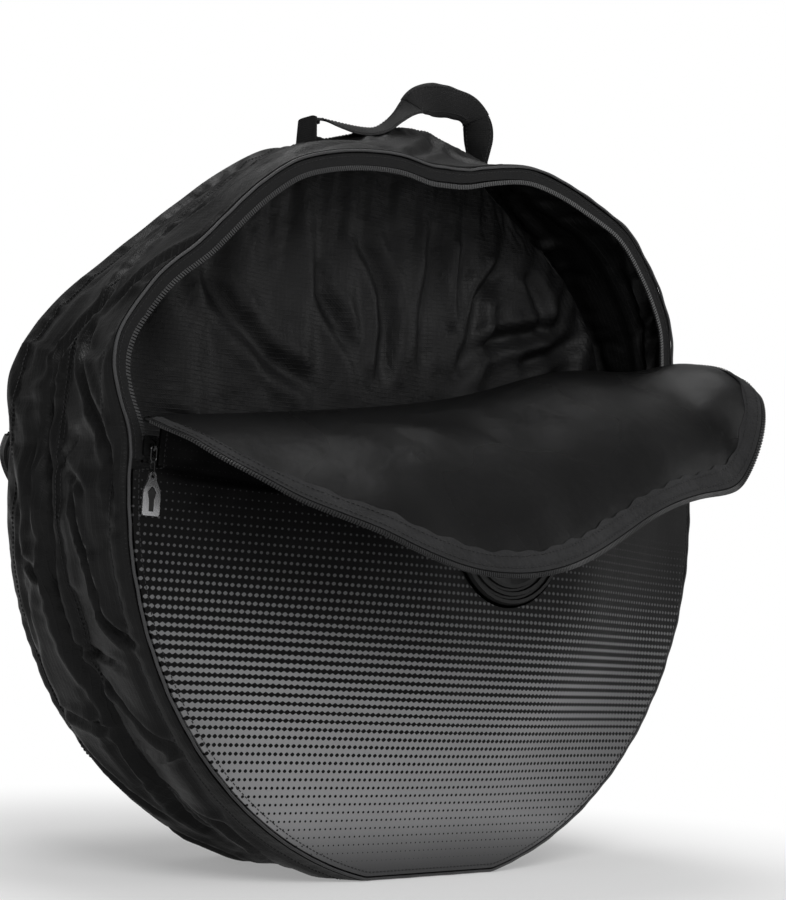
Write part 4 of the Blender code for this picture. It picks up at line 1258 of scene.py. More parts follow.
@dataclass
class LowerPanel:
    """The padded, printed lower half of a side, pushed out by the axle."""

    shape: BagShape
    side: Side
    fold: FoldLine
    hub: tuple[float, float] = (0.030, -0.026)
    plateau: float = 0.0725
    bulge: float = 0.055
    inset: float = 0.0046
    thickness: float = 0.003
    rings: int = 60
    end_sweep: float = 3.4
    chain_gap: float = 0.0082
    hinge_reach: float = 0.05
    fold_reach: float = 0.06
    soft_reach: float = 0.03
    quilt: tuple[float, float] = (0.0028, 0.006)
    swell_ripples: tuple[Ripple, ...] = (Ripple(11.0, 5.5, 0.0024), Ripple(31.0, 1.4, 0.0007))
    pucker: Ripple = Ripple(24.0, 3.0, 0.006, True)
    pucker_place: tuple[float, float] = (-0.290, 0.02)
    pucker_reach: float = 0.05
    stitch_inset: float = 0.0050

    def outline(self) -> Array:
        """Closed outline in X and Z about the rim's centre: the rim, left end, fold line and right end."""
        right = math.atan2(self.fold.right_rise, self.fold.right_x)
        left = math.atan2(self.fold.left_rise, self.fold.left_x)
        low_right = math.radians(self.shape.slider_right - self.end_sweep)
        low_left = math.radians(self.shape.slider_left + self.end_sweep)
        angles = np.linspace(low_right, low_left - math.tau, 260)
        rim = self.shape.spot(angles, self.inset, self.side.value * self.shape.half_depth)
        rim = np.stack([rim[:, 0], rim[:, 2] - self.shape.height], axis=1)
        inner = self.shape.chain_radius - self.chain_gap
        left_arc = np.linspace(low_left, left, 14)[1:]
        right_arc = np.linspace(right, low_right, 14)[:-1]
        left_points = np.stack([inner * np.cos(left_arc), inner * np.sin(left_arc)], axis=1)
        right_points = np.stack([inner * np.cos(right_arc), inner * np.sin(right_arc)], axis=1)
        x = np.linspace(self.fold.left_x, self.fold.right_x, 140)[1:-1]
        top = np.stack([x, self.fold.rise(x)], axis=1)
        return np.concatenate([rim, left_points, top, right_points])

    def build(self) -> None:
        """Builds the panel and the row of stitches inside its edge."""
        edge = self.outline()
        hub = np.array(self.hub)
        ray = edge - hub
        start = hub + ray / np.linalg.norm(ray, axis=1, keepdims=True) * self.plateau
        share = np.concatenate([[0.0], np.linspace(0.015, 1.0, self.rings) ** 0.9])
        flat = start[:, None] + (edge - start)[:, None] * share[None, :, None]
        swell = self.bulge * (1.0 + np.cos(math.pi * share)) / 2.0
        gap = np.linalg.norm(flat - edge[:, None], axis=2)
        fold_gap = np.abs(flat[..., 1] - self.fold.rise(flat[..., 0]))
        hinge_out = self.fold.out(flat[..., 0]) * np.exp(-((fold_gap / self.hinge_reach) ** 2))
        near = np.clip(fold_gap / self.fold_reach, 0.0, 1.0)
        out = np.maximum(swell[None, :] * (0.35 + 0.65 * near), hinge_out)
        points = np.stack([flat[..., 0], np.zeros_like(out), flat[..., 1] + self.shape.height], axis=-1)
        soft = np.clip(gap / self.soft_reach, 0.0, 1.0) * np.clip(share * 5.0, 0.0, 1.0)
        puff_depth, puff_reach = self.quilt
        puff = puff_depth * (1.0 - np.exp(-gap / puff_reach)) * np.clip(share * 8.0, 0.0, 1.0)
        aside = (flat - np.array(self.pucker_place)) / self.pucker_reach
        corner = np.exp(-(aside[..., 0] ** 2) - aside[..., 1] ** 2)
        out = out + puff + ripples(self.swell_ripples, points) * soft
        out = out + self.pucker.over(points) * corner * soft
        points[..., 1] = self.side.value * (self.shape.face + out)
        back = points.copy()
        back[..., 1] -= self.side.value * self.thickness
        label = self.side.label
        piece = sheet_between(f"{label}_panel_cloth", points, back, "printed_panel_cloth", closed=True)
        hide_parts(f"{label}_lower_panel")
        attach(piece, "bag")
        column = np.array([np.argmin(np.abs(row - self.stitch_inset)) for row in gap])
        path = points[np.arange(len(edge)), column]
        out_way = np.tile(np.array([0.0, float(self.side.value), 0.0]), (len(path), 1))
        thread = Thread().sew(f"{label}_panel_stitching", path, out_way)
        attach(thread, "bag")
        LOG.info("%s lower panel", label)


@dataclass
class Flap:
    """One folded flap: padded shell, satin lining, binding, zip tape and coil, bent in one curve."""

    shape: BagShape
    side: Side
    fold: FoldLine
    start_angle: float = 104.7
    swing: float = -5.14
    swing_bend: float = -1.84
    curl: float = 3.44
    curl_slope: float = 0.815
    curl_bend: float = 1.145
    curl_growth: float = 6.295
    slump_share: float = 0.94
    edge_radius: float = 0.348
    hump: float = 25.7
    hump_place: float = 0.831
    hump_left: float = 0.12
    hump_right: float = 0.10
    hump_run: float = 0.12
    half_length: float = 0.335
    fullness: tuple[tuple[float, float, float], ...] = ((0.17, 0.15, 0.7), (0.146, 0.45, 0.6))
    lean: float = 0.016
    lean_reach: float = 0.25
    bend_steps: int = 32
    shell_thickness: float = 0.003
    shell_inset: float = 0.006
    lining_thickness: float = 0.0008
    lining_inset: float = 0.0100
    binding_inset: float = 0.0045
    binding_thickness: float = 0.0010
    binding_widths: tuple[float, ...] = (0.012, 0.020, 0.019, 0.018, 0.0185, 0.0185, 0.0165, 0.013)
    binding_pucker: float = 0.0014
    tape_inset: float = 0.0010
    tape_width: float = 0.0080
    tape_depth: float = 0.0034
    tape_thickness: float = 0.0006
    stitch_insets: tuple[tuple[str, float], ...] = (("outer", 0.0085), ("inner", 0.0185))
    stitch_lift: float = 0.0016
    columns: int = 220
    rows: int = 64
    root_height: float = 0.030
    root_rows: int = 14
    droop_from: float = 0.05
    droop_to: float = 0.19
    gap: float = 0.0003
    swell_ripples: tuple[Ripple, ...] = (Ripple(9.0, 3.0, 0.0050), Ripple(22.0, 7.0, 0.0016))
    tuck: Ripple = Ripple(16.0, 1.5, 0.0060)
    tuck_x: float = 0.235
    tuck_reach: float = 0.05
    puckers: tuple[Ripple, ...] = (Ripple(95.0, 2.0, 1.0, True), Ripple(190.0, 5.0, 0.5, True))

    def edge(self, angle: Array, inset: float) -> Array:
        """Points in X and Z, about the rim's centre, at an inset inside the flap's free edge, laid flat."""
        radius = self.edge_radius - inset + self.slump_share * self.shape.read("flap", angle)
        return np.stack([radius * np.cos(angle), radius * np.sin(angle)], axis=-1)

    def unroll(self, flat: Array) -> tuple[Array, Array]:
        """Turns flat points in X and Z into their place along the fold and their height above it."""
        along, up = self.fold.frame()
        x = flat[..., 0].copy()
        for _ in range(12):
            x = flat[..., 0] + (flat[..., 1] - self.fold.rise(x)) * along[1] / along[0]
        base = np.stack([x, self.fold.rise(x)], axis=-1)
        full = 1.0
        for extra, start, reach in self.fullness:
            full = full + extra * ease((x / self.half_length - start) / reach)
        return x, ((flat - base) * up).sum(axis=-1) * full

    def unevenness(self, x: Array, height: Array) -> Array:
        """How far the padded cloth wanders from its smooth curve."""
        spots = np.stack(np.broadcast_arrays(x, height), axis=-1)
        free = np.clip((spots[..., 1] - self.root_height) / 0.03, 0.0, 1.0)
        near = np.exp(-(((spots[..., 0] - self.tuck_x) / self.tuck_reach) ** 2))
        return (ripples(self.swell_ripples, spots) + near * self.tuck.over(spots)) * free

    def bend(self, x: Array, height: Array, depth: Array) -> Array:
        """Bends flat points into the hanging flap.

        Args:
            x: Place along the fold.
            height: Height above the fold along the cloth.
            depth: Distance behind the shell's outer face.

        Returns:
            Points in the bag's frame.
        """
        x, height, depth = np.broadcast_arrays(x, height, depth)
        depth = depth + self.unevenness(x, height)
        share = x / self.half_length
        run = height[..., None] * np.linspace(0.0, 1.0, self.bend_steps + 1)
        base = np.radians(self.start_angle + self.swing * share + self.swing_bend * share ** 2)[..., None]
        curl = (self.curl + self.curl_slope * share + self.curl_bend * share ** 2)[..., None]
        reach = np.where(share < self.hump_place, self.hump_left, self.hump_right)
        hump = np.radians(self.hump) * np.exp(-((share - self.hump_place) / reach) ** 2)[..., None]
        hump = hump * np.exp(-((run / self.hump_run) ** 2))
        turn = base + curl * run + self.curl_growth * run * run - hump
        step = height / self.bend_steps
        sine = np.sin(turn)
        cosine = np.cos(turn)
        out = ((sine[..., 1:] + sine[..., :-1]) / 2.0).sum(axis=-1) * step - cosine[..., -1] * depth
        rise = ((cosine[..., 1:] + cosine[..., :-1]) / 2.0).sum(axis=-1) * step + sine[..., -1] * depth
        _, up = self.fold.frame()
        py = self.side.value * (self.shape.face + self.fold.out(x) + out)
        px = x + rise * up[0] + self.lean * np.clip(height / self.lean_reach, 0.0, 1.0)
        return np.stack([px, py, self.fold.rise(x) + rise * up[1] + self.shape.height], axis=-1)

    def ends(self, inset: float) -> tuple[float, float]:
        """Angles where the free edge, at an inset, meets the fold."""
        angle = np.radians(np.linspace(5.0, 179.9, 3000))
        _, height = self.unroll(self.edge(angle, inset))
        inside = angle[height > 0.0]
        return float(inside[-1]), float(inside[0])

    def fan(self, inset: float) -> tuple[Array, Array, Array]:
        """Columns that fan from the fold to an inset inside the edge: foot, then the top's x and height."""
        left, right = self.ends(inset)
        angle = left + (right - left) * np.linspace(0.0, 1.0, self.columns)
        x_edge, h_edge = self.unroll(self.edge(angle, inset))
        spread = (math.cos(left) - np.cos(angle)) / (math.cos(left) - math.cos(right))
        x_fold = self.fold.left_x + (self.fold.right_x - self.fold.left_x) * spread
        return x_fold[:, None], x_edge[:, None], np.maximum(h_edge, 0.0)[:, None]

    def attach(self, piece: bpy.types.Object, rooted: bool) -> None:
        """Bakes the piece's placement into its mesh, whether it is rooted in the panel or hangs in the droop.
        """
        heights = (0.002, self.root_height - 0.003) if rooted else (self.droop_from, self.droop_to)
        first, last = self.bend(np.zeros(2), np.array(heights), np.zeros(2))
        along, _ = self.fold.frame()
        if rooted:
            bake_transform(piece)
        else:
            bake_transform(piece)

    def layer(self, name: str, inset: float, depth: float, thickness: float, finish: str
              ) -> list[tuple[bpy.types.Object, float, float, float]]:
        """Builds one layer as a main sheet and a root strip across the fold.

        Args:
            name: Name of the layer.
            inset: How far its edge lies inside the free edge.
            depth: Distance of its near face behind the shell's outer face.
            thickness: Thickness of the layer.
            finish: Name of its finish.

        Returns:
            The main sheet and the root strip, each with its flat width, length and area.
        """
        found = []
        foot, top_x, top = self.fan(inset)
        parts = (("", self.root_height + 0.001, self.rows), ("_root", 0.002, self.root_rows))
        for suffix, least, rows in parts:
            keep = top[:, 0] > least
            share = np.linspace(0.0, 1.0, rows)[None, :]
            low = np.minimum(self.root_height / np.maximum(top[keep], 1e-6), 1.0)
            place = low * share if suffix else low + (1.0 - low) * share ** 0.9
            x = foot[keep] + (top_x[keep] - foot[keep]) * place
            height = top[keep] * place
            piece = sheet_between(f"{self.side.label}_{name}{suffix}", self.bend(x, height, depth),
                                  self.bend(x, height, depth + thickness), finish)
            self.attach(piece, bool(suffix))
            found.append((piece, float(np.ptp(x)), float(np.ptp(height)), strip_area(x, height)))
        return found

    def band(self, name: str, outer: float, widths: Sequence[float], depth: float, thickness: float,
             finish: str, start: float, crinkle: float) -> bpy.types.Object:
        """Builds a strip along the free edge, from a height above the fold's ends.

        Args:
            name: Name of the strip.
            outer: How far its outer edge lies inside the free edge.
            widths: Widths of the strip, from the flap's left corner to its right one.
            depth: Distance of its near face behind the shell's outer face.
            thickness: Thickness of the strip.
            finish: Name of its finish.
            start: Least height above the fold.
            crinkle: Depth of its puckers.

        Returns:
            The strip.
        """
        left, right = self.ends(outer)
        part = np.linspace(0.0, 1.0, 520)
        edge = self.edge(left + (right - left) * part, outer)
        wide = np.interp(part, np.linspace(0.0, 1.0, len(widths)), widths)
        if crinkle:
            wide = wide * (1.0 + 0.06 * np.sin(part * 190.0) + 0.05 * np.sin(part * 83.0 + 1.0))
        across = np.linspace(0.0, 1.0, 14)
        inner = edge * (1.0 - wide / np.linalg.norm(edge, axis=1))[:, None]
        flat = edge[:, None] + (inner - edge)[:, None] * across[None, :, None]
        x, height = self.unroll(flat)
        keep = height.min(axis=1) > start
        x, height = x[keep], height[keep]
        spots = np.stack([x, height], axis=-1)
        pucker = ripples(self.puckers, spots) * crinkle
        pucker = pucker * np.sin(math.pi * np.clip(across, 0.04, 0.96))[None, :]
        face = self.bend(x, height, depth + pucker)
        back = self.bend(x, height, depth + pucker + thickness)
        piece = sheet_between(f"{self.side.label}_{name}", face, back, finish)
        self.attach(piece, False)
        return piece

    def coil(self) -> bpy.types.Object:
        """Builds the zip coil on the free edge."""
        left, right = self.ends(0.0)
        count = int((left - right) * self.edge_radius / 0.0022)
        angle = np.linspace(left - 0.05, right + 0.05, count)
        half = 0.0008 / self.edge_radius
        corners = []
        for depth in (0.0026, 0.0050):
            for inset, shift in ((0.0034, -half), (0.0034, half), (-0.0004, half * 0.7),
                                 (-0.0004, -half * 0.7)):
                x, height = self.unroll(self.edge(angle + shift, inset))
                corners.append(self.bend(x, height, np.full_like(x, depth)))
        piece = blocks(f"{self.side.label}_flap_coil", np.stack(corners, axis=1), "zip_coil")
        self.attach(piece, False)
        return piece

    def stitch_row(self, name: str, inset: float, depth: float) -> bpy.types.Object:
        """Sews a row of stitches at an inset inside the free edge."""
        left, right = self.ends(inset)
        angle = np.linspace(left, right, 900)
        x, height = self.unroll(self.edge(angle, inset))
        keep = height > self.root_height + 0.002
        x, height = x[keep], height[keep]
        path = self.bend(x, height, np.full_like(x, depth))
        out = self.bend(x, height, np.full_like(x, depth + 0.01)) - path
        piece = Thread().sew(f"{self.side.label}_{name}", path, out)
        self.attach(piece, False)
        return piece

    def build(self) -> None:
        """Builds the flap's pieces and bakes their placement."""
        label = self.side.label
        lining_depth = self.shell_thickness + self.gap
        top_depth = lining_depth + self.lining_thickness + self.gap
        shells = self.layer("flap_shell", self.shell_inset, 0.0, self.shell_thickness, "flap_print_cloth")
        linings = self.layer("flap_lining", self.lining_inset, lining_depth, self.lining_thickness,
                             "satin_lining")
        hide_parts(f"{label}_flap_base_shell", f"{label}_flap_tip_shell")
        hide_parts(f"{label}_flap_base_lining", f"{label}_flap_tip_lining")
        binding = self.band("flap_binding", self.binding_inset, self.binding_widths, top_depth,
                            self.binding_thickness, "hem_binding", 0.010, self.binding_pucker)
        tape = self.band("flap_zip_tape", self.tape_inset, (self.tape_width, self.tape_width),
                         self.tape_depth, self.tape_thickness, "zip_tape_cloth", 0.008, 0.0)
        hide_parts(f"{label}_flap_tape_left", f"{label}_flap_tape_right", f"{label}_flap_tape_tip")
        coil = self.coil()
        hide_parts(f"{label}_flap_teeth_left", f"{label}_flap_teeth_right", f"{label}_flap_teeth_tip")
        rows = [self.stitch_row(f"flap_stitching_{place}", inset, top_depth + self.stitch_lift)
                for place, inset in self.stitch_insets]
        LOG.info("%s flap", label)


@dataclass
class RimZip:
    """The zip tape and coil along the rim's upper arc, with the slider's own solids dressed."""

    shape: BagShape
    side: Side
    nodes: dict[str, bpy.types.Object]
    pitch: float = 0.0025
    end_sweep: float = 2.0
    outer_inset: float = 0.0046
    chain_gap: float = 0.0050
    tape_y: float = 0.0972
    tape_sink: float = 0.0004
    tape_slope: float = 0.0012
    tape_thickness: float = 0.0008
    tape_ripples: tuple[Ripple, ...] = (Ripple(24.0, 6.0, 0.0006), Ripple(70.0, 2.0, 0.0006, True))
    tooth_half: float = 0.0009
    tooth_taper: float = 0.7
    tooth_insets: tuple[float, float] = (0.0052, 0.0006)
    tooth_faces: tuple[float, float] = (0.0940, 0.0962)

    def build(self) -> None:
        """Builds the tape and the coil and dresses the slider."""
        label = self.side.label
        sign = self.side.value
        left = math.radians(self.shape.slider_left + self.end_sweep)
        right = math.radians(self.shape.slider_right - self.end_sweep)
        angle = np.linspace(left, right, 420)
        inset = self.shape.radius - self.shape.chain_radius
        share = np.linspace(0.0, 1.0, 9)
        insets = self.outer_inset + (inset - self.chain_gap - self.outer_inset) * share[None, :]
        points = self.shape.spot(angle[:, None], insets, np.full((1, len(share)), sign * self.tape_y))
        ripple = ripples(self.tape_ripples, points)
        points[..., 1] = sign * (self.tape_y - self.tape_sink - self.tape_slope * share[None, :] + ripple)
        back = points.copy()
        back[..., 1] -= sign * self.tape_thickness
        tape = sheet_between(f"{label}_rim_zip_tape", points, back, "zip_tape_cloth")
        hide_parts(f"{label}_rim_tape")
        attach(tape, "bag")
        row = points[:, 2]
        out = np.tile(np.array([0.0, float(sign), 0.0]), (len(row), 1))
        thread = Thread().sew(f"{label}_rim_stitching", row, out)
        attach(thread, "bag")
        count = int((left - right) * self.shape.chain_radius / self.pitch)
        angle = np.linspace(left, right, count)
        half = self.tooth_half / self.shape.chain_radius
        root, tip = (inset - gap for gap in self.tooth_insets)
        corners = []
        for y in self.tooth_faces:
            for place, shift in ((root, -half), (root, half), (tip, half * self.tooth_taper),
                                 (tip, -half * self.tooth_taper)):
                spots = self.shape.spot(angle + shift, place, sign * self.shape.half_depth)
                spots[..., 1] = sign * y
                corners.append(spots)
        coil = blocks(f"{label}_rim_coil", np.stack(corners, axis=1), "light_coil")
        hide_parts(f"{label}_rim_teeth")
        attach(coil, "bag")
        for name, finish in (("slider", "dark_plated_metal"), ("pull", "bright_plated_metal"),
                             ("pull_insert", "pull_insert"), ("pull_link_upper", "dark_plated_metal"),
                             ("pull_link_lower", "dark_plated_metal"), ("zip_stop_left", "dark_plated_metal"),
                             ("zip_stop_right", "dark_plated_metal"), ("axle_pad", "moulded_pad")):
            dress_node(self.nodes[f"{label}_{name}"], finish)
        LOG.info("%s zip", label)


def dress_node(node: bpy.types.Object, finish: str) -> None:
    """Gives a carried-over solid its finish."""
    if not node.material_slots:
        node.data.materials.append(None)
    for slot in node.material_slots:
        slot.material = Wardrobe.get(finish)


@dataclass
class CarryHandle:
    """The twisted webbing handle with its wide grip, two tabs and two sewn patches."""

    shape: BagShape
    gusset: Gusset
    half_span: float = 0.115
    axis_height: float = RIM_CENTRE + RIM_RADIUS + HANDLE_AXIS_RISE
    strap_thickness: float = 0.0022
    grip_thickness: float = 0.0070
    tab_half_width: float = 0.015
    tab_thickness: float = 0.0026
    patch_half: float = 0.020
    patch_inner: float = 0.78
    steps: int = 160
    grip_steps: tuple[int, int] = (72, 118)
    grip_edge: float = 0.0042
    grip_extra: float = 0.0050
    grip_bumps: Ripple = Ripple(42.0, 4.0, 0.0022)
    grip_waist: Ripple = Ripple(60.0, 7.0, 0.10)
    stations: tuple[tuple[float, ...], ...] = (
        (-0.1128, 0.7090, 0.0, 1.0, 0.0, 0.028), (-0.1126, 0.7118, 0.0, 1.0, 0.0, 0.028),
        (-0.1110, 0.7140, 0.0, 1.0, 0.05, 0.028), (-0.1040, 0.7168, 0.0, 0.97, 0.20, 0.028),
        (-0.0860, 0.7172, 0.0, 0.90, 0.42, 0.028), (-0.0620, 0.7172, 0.0, 0.86, 0.50, 0.028),
        (-0.0400, 0.7200, 0.0, 0.90, 0.42, 0.028), (-0.0220, 0.7260, 0.0, 0.97, 0.25, 0.028),
        (-0.0070, 0.7370, 0.0, 0.98, 0.20, 0.028), (0.0070, 0.7490, 0.0, 0.93, 0.38, 0.029),
        (0.0190, 0.7590, -0.1, 0.72, 0.69, 0.031), (0.0320, 0.7670, -0.2, 0.40, 0.90, 0.032),
        (0.0500, 0.7730, -0.2, 0.22, 0.96, 0.032), (0.0700, 0.7755, -0.1, 0.20, 0.97, 0.032),
        (0.0860, 0.7755, 0.0, 0.16, 0.98, 0.032), (0.0980, 0.7725, 0.30, 0.02, 0.94, 0.033),
        (0.1065, 0.7660, 0.70, -0.18, 0.62, 0.033), (0.1110, 0.7560, 0.80, -0.55, 0.22, 0.032),
        (0.1125, 0.7440, 0.62, -0.78, 0.03, 0.031), (0.1130, 0.7320, 0.33, -0.94, 0.0, 0.029),
        (0.1130, 0.7200, 0.08, -1.0, 0.0, 0.028), (0.1130, 0.7130, 0.0, -1.0, 0.0, 0.028),
        (0.1130, 0.7090, 0.0, -1.0, 0.0, 0.028),
    )

    def track(self, count: int) -> tuple[Array, Array, Array, Array]:
        """Middle line of the strap, with its widthways and outward directions and its widths."""
        table = refine(np.array(self.stations)[:, None, :].repeat(2, axis=1), count, 2, False)[:, 0]
        middle = np.stack([table[:, 0], np.zeros(count), table[:, 1]], axis=1)
        along = np.gradient(middle, axis=0)
        along /= np.linalg.norm(along, axis=1, keepdims=True)
        wide = table[:, 2:5] - (table[:, 2:5] * along).sum(axis=1, keepdims=True) * along
        wide /= np.linalg.norm(wide, axis=1, keepdims=True)
        return middle, wide, np.cross(along, wide), table[:, 5]

    def ribbon(self, name: str, first: int, last: int, extra: float, thickness: float, crown: float,
               finish: str) -> bpy.types.Object:
        """Builds a band along part of the strap.

        Args:
            name: Name of the band.
            first: First of the strap's steps that it covers.
            last: The step after its last.
            extra: How much wider it is than the strap.
            thickness: Thickness at its edges.
            crown: How much thicker its middle is.
            finish: Name of its finish.

        Returns:
            The band.
        """
        middle, wide, out, width = (part[first:last] for part in self.track(self.steps))
        share = np.linspace(-1.0, 1.0, 13)
        half = (width + extra)[:, None] / 2.0
        thick = (thickness + crown * (1.0 - share ** 2)) / 2.0 * (1.0 - share ** 8 * 0.7)
        end = np.clip(np.minimum(np.arange(len(middle)), np.arange(len(middle))[::-1]) / 3.0, 0.0, 1.0)
        lift = 0.6 + 0.4 * end ** 0.5 if crown else np.ones(len(middle))
        cup = 0.0014 * (1.0 - share ** 2)
        if crown:
            middle = middle + out * self.grip_bumps.over(middle)[:, None]
            half = half * (1.0 + self.grip_waist.over(middle))[:, None]
        top = middle[:, None] + wide[:, None] * (share * half)[..., None]
        top = top + out[:, None] * (cup[None] + thick[None] * lift[:, None])[..., None]
        low = middle[:, None] + wide[:, None] * (share[::-1] * half)[..., None]
        low = low + out[:, None] * (cup[None, ::-1] - thick[None, ::-1] * lift[:, None])[..., None]
        return sweep(name, np.concatenate([top, low], axis=1), finish)

    def build(self) -> None:
        """Builds the strap, its grip, the tabs and the patches."""
        strap = self.ribbon("handle_webbing", 0, self.steps, 0.0, self.strap_thickness, 0.0, "webbing_cloth")
        grip = self.ribbon("handle_grip", *self.grip_steps, self.grip_extra, self.grip_edge,
                           self.grip_thickness - self.grip_edge, "webbing_cloth")
        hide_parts("handle_strap")
        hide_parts("handle_wrap")
        middle, wide, out, width = self.track(self.steps)
        moving = [strap, grip]
        grip_first, grip_last = self.grip_steps
        for place, share, low, high, lift in (("edge", 0.40, 2, self.steps - 2, 0.0015),
                                              ("grip", 0.44, grip_first + 2, grip_last - 2, 0.0031)):
            for row, way in (("a", 1.0), ("b", -1.0)):
                path = (middle + wide * (way * share * width)[:, None] + out * lift)[low:high]
                moving.append(Thread().sew(f"handle_stitching_{place}_{row}", path, out[low:high]))
        for piece in moving:
            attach(piece, "handle")
        for way, name in ((-1, "left"), (1, "right")):
            self.anchor(way, name)
        LOG.info("handle")

    def anchor(self, way: int, name: str) -> None:
        """Builds the tab and the patch of one end."""
        degrees = math.degrees(math.acos(way * self.half_span / self.shape.radius))
        sweep_angle = math.degrees(self.patch_half / self.shape.radius)
        turn = degrees + np.linspace(-sweep_angle, sweep_angle, 25)[:, None]
        y = np.linspace(-self.patch_half, self.patch_half, 25)[None, :]
        dome = (1.0 - (y / self.patch_half) ** 6) * (1.0 - ((turn - degrees) / sweep_angle) ** 6)
        low = self.gusset.over(turn, y, 0.0006)
        high = low + self.shape.away(low) * (0.0010 + 0.0010 * dome)[..., None]
        patch = sheet_between(f"handle_anchor_patch_{name}", high, low, "webbing_cloth")
        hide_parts(f"handle_patch_{name}")
        x = way * (self.half_span + self.tab_thickness / 2 + 0.0006)
        foot = float(low[12, 12, 2]) - 0.002
        top = max(self.axis_height, foot + 0.014)
        level = np.linspace(foot, top, 12)
        half = self.tab_half_width * (1.0 - 0.12 * np.clip((level - foot) / (top - foot), 0.0, 1.0))
        share = np.linspace(-1.0, 1.0, 13)
        round_off = 0.0016 * np.abs(share) ** 6
        face = np.stack(np.broadcast_arrays(x - self.tab_thickness / 2, share[None] * half[:, None],
                                            level[:, None] - round_off[None]), axis=-1)
        back = face + np.array([self.tab_thickness, 0.0, 0.0])
        tab = sheet_between(f"handle_anchor_tab_{name}", face, back, "webbing_cloth")
        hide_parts(f"handle_tab_{name}")
        pieces = [patch, tab]
        box = [(-1, -1), (1, -1), (1, 1), (-1, 1), (-1, -1), (1, 1)]
        spots = [(degrees + a * sweep_angle * self.patch_inner, b * self.patch_half * self.patch_inner)
                 for a, b in box]
        run = np.concatenate([np.linspace(spots[i], spots[i + 1], 30) for i in range(len(spots) - 1)])
        path = self.gusset.over(run[:, 0], run[:, 1], 0.0026)
        pieces.append(Thread().sew(f"handle_anchor_stitching_{name}", path, self.shape.away(path)))
        for piece in pieces:
            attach(piece, "bag")


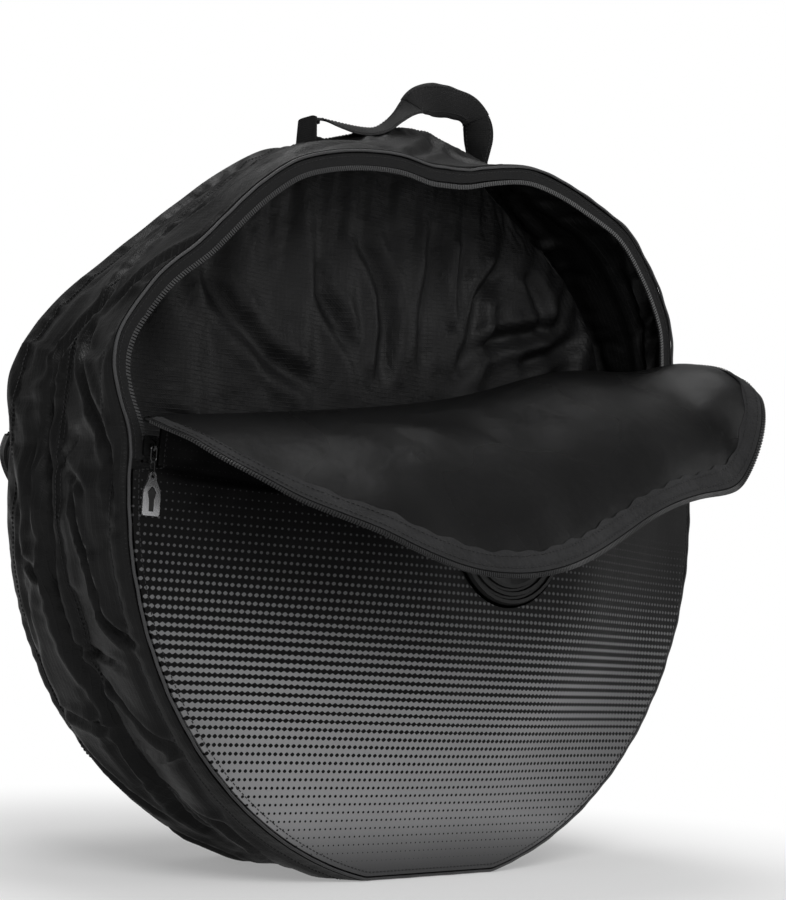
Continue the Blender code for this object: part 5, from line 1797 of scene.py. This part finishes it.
@dataclass
class Studio:
    """Camera, lights and a plain pale floor. Angles are in degrees, and the lens is in millimetres."""

    height: float = RIM_CENTRE
    azimuth: float = -41.2824
    elevation: float = -5.5949
    roll: float = 2.8207
    distance: float = 1.80716
    lens: float = 72.2885
    sensor: float = 36.0
    aim_x: float = 0.01417
    aim_rise: float = 0.05477
    lamps: tuple[tuple[str, tuple[float, float, float], float, float], ...] = (
        ("key", (-1.2, -2.4, 2.2), 1.6, 52.0),
        ("fill", (2.4, -1.6, 1.0), 1.8, 17.0),
        ("top", (0.1, 0.3, 2.5), 1.4, 20.0),
    )
    floor_reach: float = 30.0
    floor_shade: float = 0.86
    surround: float = 0.34

    def camera(self) -> None:
        """Sets the camera up at the photograph's viewing angle."""
        a, e, r = (math.radians(v) for v in (self.azimuth, self.elevation, self.roll))
        back = Vector((math.sin(a) * math.cos(e), -math.cos(a) * math.cos(e), math.sin(e)))
        right = Vector((math.cos(a), math.sin(a), 0.0))
        up = back.cross(right)
        across = right * math.cos(r) + up * math.sin(r)
        upward = up * math.cos(r) - right * math.sin(r)
        place = Vector((self.aim_x, 0.0, self.height + self.aim_rise)) + back * self.distance
        data = bpy.data.cameras.new("viewpoint")
        data.lens = self.lens
        data.sensor_width = self.sensor
        data.clip_start = 0.05
        camera = bpy.data.objects.new("viewpoint", data)
        bpy.context.scene.collection.objects.link(camera)
        turn = Matrix((across, upward, back)).transposed().to_4x4()
        camera.matrix_world = Matrix.Translation(place) @ turn
        bpy.context.scene.camera = camera

    def lamp(self, name: str, place: Sequence[float], size: float, power: float) -> None:
        """Adds a soft lamp that points at the bag."""
        data = bpy.data.lights.new(name, "AREA")
        data.shape = "DISK"
        data.size = size
        data.energy = power
        lamp = bpy.data.objects.new(name, data)
        lamp.location = place
        target = Vector((0.0, 0.0, self.height))
        lamp.rotation_euler = (Vector(place) - target).to_track_quat("Z", "Y").to_euler()
        bpy.context.scene.collection.objects.link(lamp)

    def floor(self) -> None:
        """Lays a pale floor that keeps the bag's shadow and fades into a white ground."""
        material, bench, shader, place = start_material("pale_floor")
        shader.inputs["Base Color"].default_value = (*[self.floor_shade] * 3, 1.0)
        shader.inputs["Roughness"].default_value = 0.9
        grain = bench.noise(place, 30.0, 2.0)
        relief(bench, shader, ((grain, 0.0002, 0.2),))
        glow = bench.add("Emission")
        glow.inputs["Color"].default_value = (1.0, 1.0, 1.0, 1.0)
        distance = bench.add("VectorMath", operation="LENGTH")
        bench.link(place, distance.inputs[0])
        far = bench.ramp(distance.outputs["Value"], 0.30, 0.80, 0.30, 1.0)
        seen = bench.add("LightPath")
        either = bench.math("MAXIMUM", seen.outputs["Is Camera Ray"], seen.outputs["Is Glossy Ray"])
        either = bench.math("MAXIMUM", either, seen.outputs["Is Transmission Ray"])
        share = bench.math("MULTIPLY", far, either)
        mix = bench.add("MixShader")
        bench.link(share, mix.inputs[0])
        bench.link(shader.outputs[0], mix.inputs[1])
        bench.link(glow.outputs[0], mix.inputs[2])
        bench.link(mix.outputs[0], material.node_tree.nodes["Material Output"].inputs["Surface"])
        signs = ((-1, -1), (1, -1), (1, 1), (-1, 1))
        mesh = bpy.data.meshes.new("floor")
        corners = [(a * self.floor_reach, b * self.floor_reach, 0) for a, b in signs]
        mesh.from_pydata(corners, [], [(0, 1, 2, 3)])
        mesh.materials.append(material)
        ground = bpy.data.objects.new("floor", mesh)
        bpy.context.scene.collection.objects.link(ground)

    def world(self) -> None:
        """Sets a plain soft surround that the camera sees as white."""
        world = bpy.data.worlds.new("surround")
        world.use_nodes = True
        bench = NodeBench(world.node_tree)
        soft = world.node_tree.nodes["Background"]
        soft.inputs["Color"].default_value = (1.0, 1.0, 1.0, 1.0)
        soft.inputs["Strength"].default_value = self.surround
        white = bench.add("Background")
        white.inputs["Color"].default_value = (1.0, 1.0, 1.0, 1.0)
        white.inputs["Strength"].default_value = 1.0
        seen = bench.add("LightPath")
        mix = bench.add("MixShader")
        bench.link(seen.outputs["Is Camera Ray"], mix.inputs[0])
        bench.link(soft.outputs[0], mix.inputs[1])
        bench.link(white.outputs[0], mix.inputs[2])
        bench.link(mix.outputs[0], world.node_tree.nodes["World Output"].inputs["Surface"])
        bpy.context.scene.world = world

    def build(self) -> None:
        """Sets the whole studio up."""
        self.camera()
        for values in self.lamps:
            self.lamp(*values)
        self.floor()
        self.world()
        bpy.context.scene.view_settings.view_transform = "Standard"


def main() -> None:
    """Builds the scene."""
    logging.basicConfig(level=logging.INFO, format="%(message)s")
    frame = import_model()
    nodes = frame["nodes"]
    Studio().build()
    shape = BagShape()
    fold = FoldLine()
    for side in Side:
        RimSeam(shape, side).build()
        LowerPanel(shape, side, fold).build()
        Flap(shape, side, fold).build()
        RimZip(shape, side, nodes).build()
    gusset = Gusset(shape)
    ring = gusset.build()
    Divider(shape, ring).build()
    CarryHandle(shape, gusset).build()


if __name__ == "__main__":
    main()
